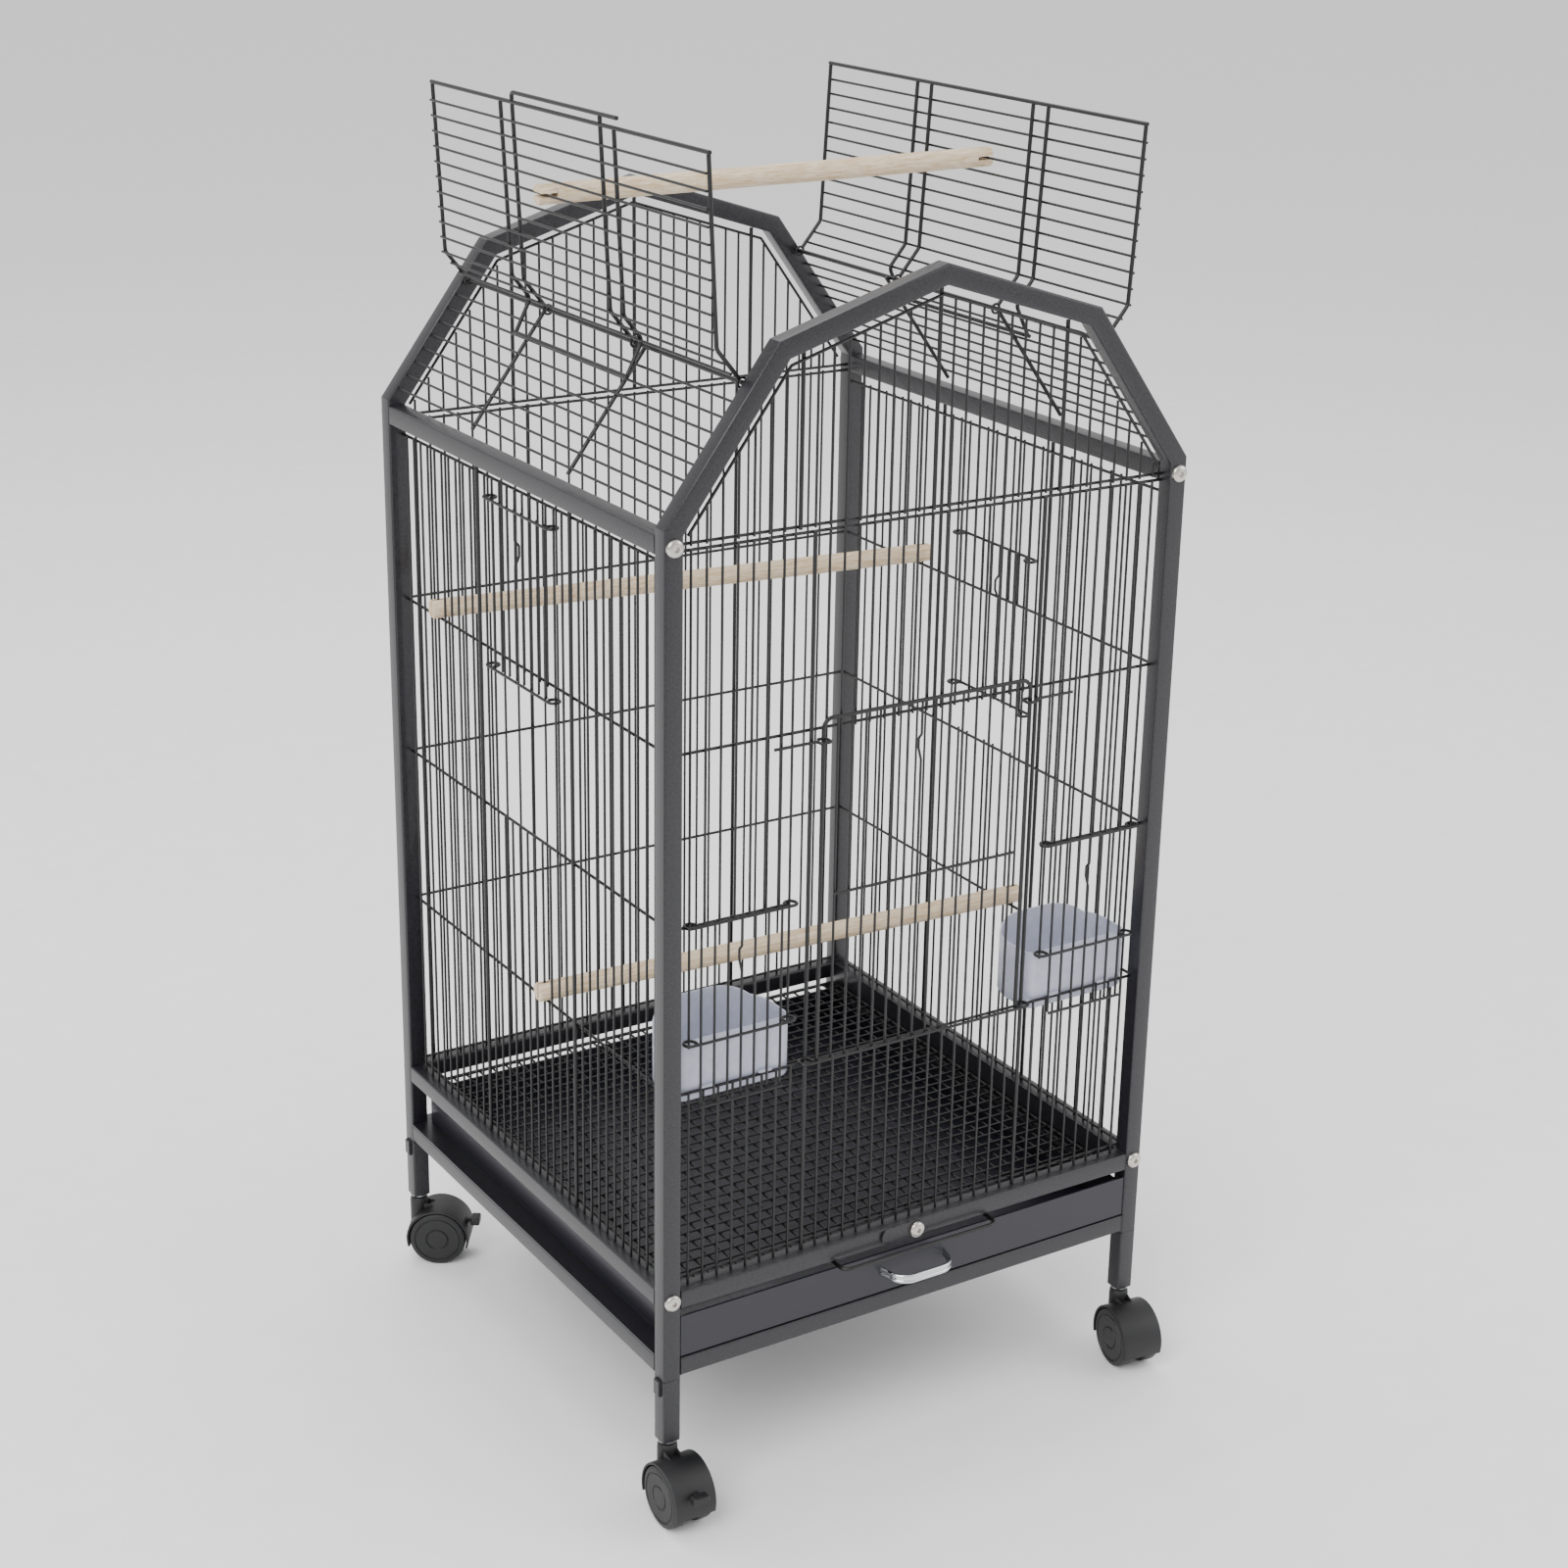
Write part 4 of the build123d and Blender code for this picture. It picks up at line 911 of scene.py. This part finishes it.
@dataclass
class Castor:
    """Twin-wheel castor with a moulded hood, and a foot brake on two of them."""

    name: str
    x: float
    y: float
    heading: float
    braked: bool
    trail: float = 18.0
    wheel_radius: float = 25.0
    wheel_width: float = 13.0
    inner_face: float = 4.6
    hood_outer: float = 27.8
    hood_inner: float = 25.8
    hood_half: float = 17.6
    hood_foot: float = 17.0
    web_half: float = 3.8
    boss: float = 8.0
    boss_top: float = 60.0
    pivot: tuple = (40.0, 37.0)

    def axes(self) -> tuple[np.ndarray, np.ndarray]:
        """Directions along the trail and along the axle.

        Returns:
            Two unit vectors.
        """
        turn = np.radians(self.heading)
        return (np.array([np.cos(turn), np.sin(turn), 0]),
                np.array([-np.sin(turn), np.cos(turn), 0]))

    def place(self, along: float, across: float, height: float) -> np.ndarray:
        """A point given along the trail, across it and above the floor.

        Args:
            along: distance behind the stem, in mm.
            across: distance along the axle from the middle, in mm.
            height: height above the floor, in mm.

        Returns:
            The point, in mm.
        """
        ahead, axle = self.axes()
        return np.array([self.x, self.y, height]) + ahead * along + axle * across

    def wheels(self) -> Shape:
        """The two wheels, each with a rounded tread and a stepped outer disc.

        Returns:
            The shape.
        """
        _, axle = self.axes()
        r, w = self.wheel_radius, self.wheel_width
        profile = [(0, 0), (r - 5, 0), (r - 4.2, 0.8), (r - 1.6, 0.8), (r - 0.5, 1.4), (r, 2.6),
                   (r, w - 2.6), (r - 0.5, w - 1.1), (r - 1.8, w - 0.3), (r - 3.4, w),
                   (r - 4.4, w), (r - 4.8, w - 0.7), (r - 5.6, w - 0.7), (r - 6.0, w - 0.1),
                   (10.4, w - 0.2), (9.8, w - 0.9), (9.0, w - 0.9), (8.5, w - 0.1), (3.0, w),
                   (0, w)]
        shape = Shape()
        for side in (-1, 1):
            shape.turned(self.place(self.trail, side * self.inner_face, self.wheel_radius),
                         tuple(side * axle), profile, 64)
        return shape

    def hood(self) -> Shape:
        """The arched hood, the web between the wheels and the stem boss.

        The arch is swept round the axle from one point at the hood's foot height to the
        other, so it starts and ends at the angle asin((foot - axle height) / radius).

        Returns:
            The shape.
        """
        ahead, axle = self.axes()
        dip = np.arcsin((self.wheel_radius - self.hood_foot) / self.hood_outer)
        angles = np.linspace(-dip, np.pi + dip, 49)
        middle = (self.hood_outer + self.hood_inner) / 2
        centre = self.place(self.trail, 0, self.wheel_radius)
        spokes = np.cos(angles)[:, None] * ahead + np.sin(angles)[:, None] * np.array(Axis.Z.value)
        outline = rounded_outline(2 * self.hood_half, self.hood_outer - self.hood_inner, 0.7)
        rings = (centre + spokes[:, None, :] * (middle + outline[None, :, 1:])
                 + outline[None, :, :1] * axle)
        shape = Shape().rings(rings)
        turn = np.linspace(-dip, np.pi + dip, 41)
        disc = (self.hood_inner + 0.3) * np.stack([np.cos(turn), np.sin(turn)], axis=-1)
        if self.braked:
            disc = self.notched(disc)
        corners = disc[:, :1] * ahead + disc[:, 1:] * np.array(Axis.Z.value)
        faces = np.array([-self.web_half, self.web_half])[:, None, None] * axle
        shape.rings(centre + corners[None] + faces)
        shape.turned(self.place(0, 0, self.wheel_radius + 12), Axis.Z.value,
                     [(self.boss, 0), (self.boss, 19), (self.boss - 0.3, 21.6),
                      (self.boss - 1.2, 23)], 40)
        rib = rounded_outline(1.8, 12.0, 0.6, 2)
        for side in (-1, 1):
            shape.bar(self.place(-2.0, side * 5.2, self.boss_top - 9),
                      self.place(self.trail * 0.75, side * 5.2, self.boss_top - 13.5), rib, 0.4)
        return shape

    def notched(self, disc: np.ndarray) -> np.ndarray:
        """Pulls the web's rim in where the brake lever passes through it.

        Args:
            disc: web outline (n, 2) round the axle, in mm.

        Returns:
            The outline with the notch.
        """
        near = np.hypot(disc[:, 0] - (self.pivot[0] - self.trail),
                        disc[:, 1] - (self.pivot[1] - self.wheel_radius)) < 6.5
        return np.where(near[:, None], disc * 0.72, disc)

    def lever(self) -> Shape:
        """The brake lever: blade, cross pin and ridged tread.

        Returns:
            The shape.
        """
        along, height = self.pivot
        _, axle = self.axes()
        shape = Shape()
        shape.bar(self.place(along - 3, 0, height), self.place(along + 8, 0, height),
                  rounded_outline(4, 4, 0.6, 2), 0.3)
        shape.bar(self.place(along + 6.7, 0, height), self.place(along + 14.2, 0, height),
                  rounded_outline(14, 6.4, 1.6), 0.8)
        for step in (8.2, 10.2, 12.2):
            shape.bar(self.place(along + step, -6, height + 3.1),
                      self.place(along + step, 6, height + 3.1),
                      rounded_outline(0.8, 0.7, 0.2, 2), 0.1)
        shape.turned(self.place(along, -3.4, height), tuple(axle), [(1.2, 0), (1.2, 6.8)], 20)
        return shape

    def build(self, plastic: bpy.types.Material) -> None:
        """Builds the castor.

        Args:
            plastic: the moulded nylon.
        """
        self.wheels().build(f"{self.name}_wheels_look", plastic, Slot.CASTOR,
                            f"{self.name}_wheels_body", (f"{self.name}_caster_wheels",))
        self.hood().build(f"{self.name}_hood_look", plastic, Slot.CASTOR,
                          f"{self.name}_caster_body", (f"{self.name}_caster_hood",))
        if self.braked:
            self.lever().build(f"{self.name}_brake_look", plastic, Slot.CASTOR,
                               f"{self.name}_brake_body", (f"{self.name}_brake_lever",))


# ---------------------------------------------------------------- studio


@dataclass
class Studio:
    """Pale floor, soft lights and the camera."""

    floor_size: float = 80.0
    sensor: float = 36.0
    sky_strength: float = 1.0
    position: tuple = (-1.1331, -1.8211, 1.2953)
    azimuth: float = 33.63
    elevation: float = 20.17
    roll: float = 1.46
    lens: float = 63.9
    shift: tuple = (-0.0401, -0.0139)

    def floor(self) -> None:
        """Adds the floor, a large pale matt sheet with a faint mottle."""
        material = Finish("pale_studio_floor", Slot.FRAME, "#ffffff", "#fcfcfc", roughness=0.75,
                          roughness_spread=0.02, grain=40.0, relief=0.01).make()
        half = self.floor_size / 2
        mesh = bpy.data.meshes.new("studio_floor")
        mesh.from_pydata([(-half, -half, 0), (half, -half, 0), (half, half, 0), (-half, half, 0)],
                         [], [(0, 1, 2, 3)])
        mesh.materials.append(material)
        floor = bpy.data.objects.new("studio_floor", mesh)
        bpy.context.scene.collection.objects.link(floor)

    def light(self, name: str, place: tuple, target: tuple, size: float, power: float) -> None:
        """Adds one square soft light that faces a target.

        Args:
            name: light name.
            place: position in metres.
            target: point it faces, in metres.
            size: side of the square, in metres.
            power: watts.
        """
        data = bpy.data.lights.new(name, "AREA")
        data.shape = "SQUARE"
        data.size = size
        data.energy = power
        away = np.array(place) - np.array(target)
        side, up, forward = basis(away, np.array(Axis.Z.value))
        lamp = bpy.data.objects.new(name, data)
        lamp.matrix_world = self.matrix(side, up, forward, place)
        bpy.context.scene.collection.objects.link(lamp)

    def matrix(self, side: np.ndarray, up: np.ndarray, back: np.ndarray, place: tuple) -> Matrix:
        """World matrix of an object with these axes.

        Args:
            side: its x axis.
            up: its y axis.
            back: its z axis.
            place: position in metres.

        Returns:
            The matrix.
        """
        rows = np.eye(4)
        rows[:3, 0], rows[:3, 1], rows[:3, 2], rows[:3, 3] = side, up, back, place
        return Matrix(rows.tolist())

    def camera(self) -> None:
        """Adds the camera, turned by the azimuth, elevation and roll."""
        az, el, roll = np.radians([self.azimuth, self.elevation, self.roll])
        back = np.array([-np.sin(az) * np.cos(el), -np.cos(az) * np.cos(el), np.sin(el)])
        side, up, back = basis(back, np.array(Axis.Z.value))
        turned_side = np.cos(roll) * side + np.sin(roll) * up
        turned_up = -np.sin(roll) * side + np.cos(roll) * up
        data = bpy.data.cameras.new("view")
        data.lens = self.lens
        data.sensor_width = self.sensor
        data.shift_x, data.shift_y = self.shift
        camera = bpy.data.objects.new("view", data)
        camera.matrix_world = self.matrix(turned_side, turned_up, back, self.position)
        bpy.context.scene.collection.objects.link(camera)
        bpy.context.scene.camera = camera

    def build(self) -> None:
        """Builds the whole studio."""
        self.floor()
        self.light("key_light", (-2.6, -1.6, 3.2), (0, 0, 0.5), 2.4, 110)
        self.light("fill_light", (2.8, -2.0, 2.2), (0, 0, 0.5), 2.6, 45)
        self.light("top_light", (0.0, 1.4, 3.6), (0, 0, 0.4), 2.4, 60)
        world = bpy.data.worlds.new("studio_world")
        world.use_nodes = True
        sky = world.node_tree.nodes["Background"]
        sky.inputs["Color"].default_value = linear("#ffffff")
        sky.inputs["Strength"].default_value = self.sky_strength
        bpy.context.scene.world = world
        self.camera()


# ---------------------------------------------------------------- assembly


def dress_kept_nodes(frame: dict, finishes: dict) -> None:
    """Gives every CAD node that is still shown the finish of its record slot.

    Args:
        finishes: slot to material.
    """
    for entry in frame["record"]["subparts"]:
        item = frame["nodes"][entry["node"]]
        if item.hide_render:
            continue
        item.data.materials.clear()
        item.data.materials.append(finishes[Slot(entry["material_slot"])])
        log.info("%s keeps its CAD mesh", entry["node"])


def main() -> None:
    """Builds the studio and every piece."""
    logging.basicConfig(level=logging.INFO, format="%(name)s: %(message)s")
    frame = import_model()
    finishes = {finish.slot: finish.make() for finish in FINISHES}
    CageFrame().build(finishes[Slot.FRAME])
    ButtonBolts().build(finishes[Slot.BOLT])
    perches = (
        Perch("upper_perch", (-220, 152.4, 629.25), (220, 101.6, 629.25), 6.0, True),
        Perch("lower_perch", (-220, -25.4, 361.25), (220, -50.8, 361.25), 6.0, True),
        Perch("top_perch", (-184.38, 28, 975.91), (185.04, -13, 987.8), 5.0, False,
              body="top_perch_body"),
    )
    for perch in perches:
        perch.build(finishes[Slot.WOOD])
    FoodCup("left_food_cup", "left_food_cup_body", -160.6).build(finishes[Slot.CUP])
    FoodCup("right_food_cup", "right_food_cup_body", 160.6).build(finishes[Slot.CUP])
    SlideTray().build(finishes[Slot.TRAY], finishes[Slot.CHROME])
    castors = (
        Castor("front_left", -221.5, -224.5, -90.0, True),
        Castor("front_right", 221.5, -224.5, -98.0, False),
        Castor("back_left", -221.5, 224.5, -34.0, True),
        Castor("back_right", 221.5, 224.5, 60.0, False),
    )
    for castor in castors:
        castor.build(finishes[Slot.CASTOR])
    dress_kept_nodes(frame, finishes)
    Studio().build()


if __name__ == "__main__":
    main()
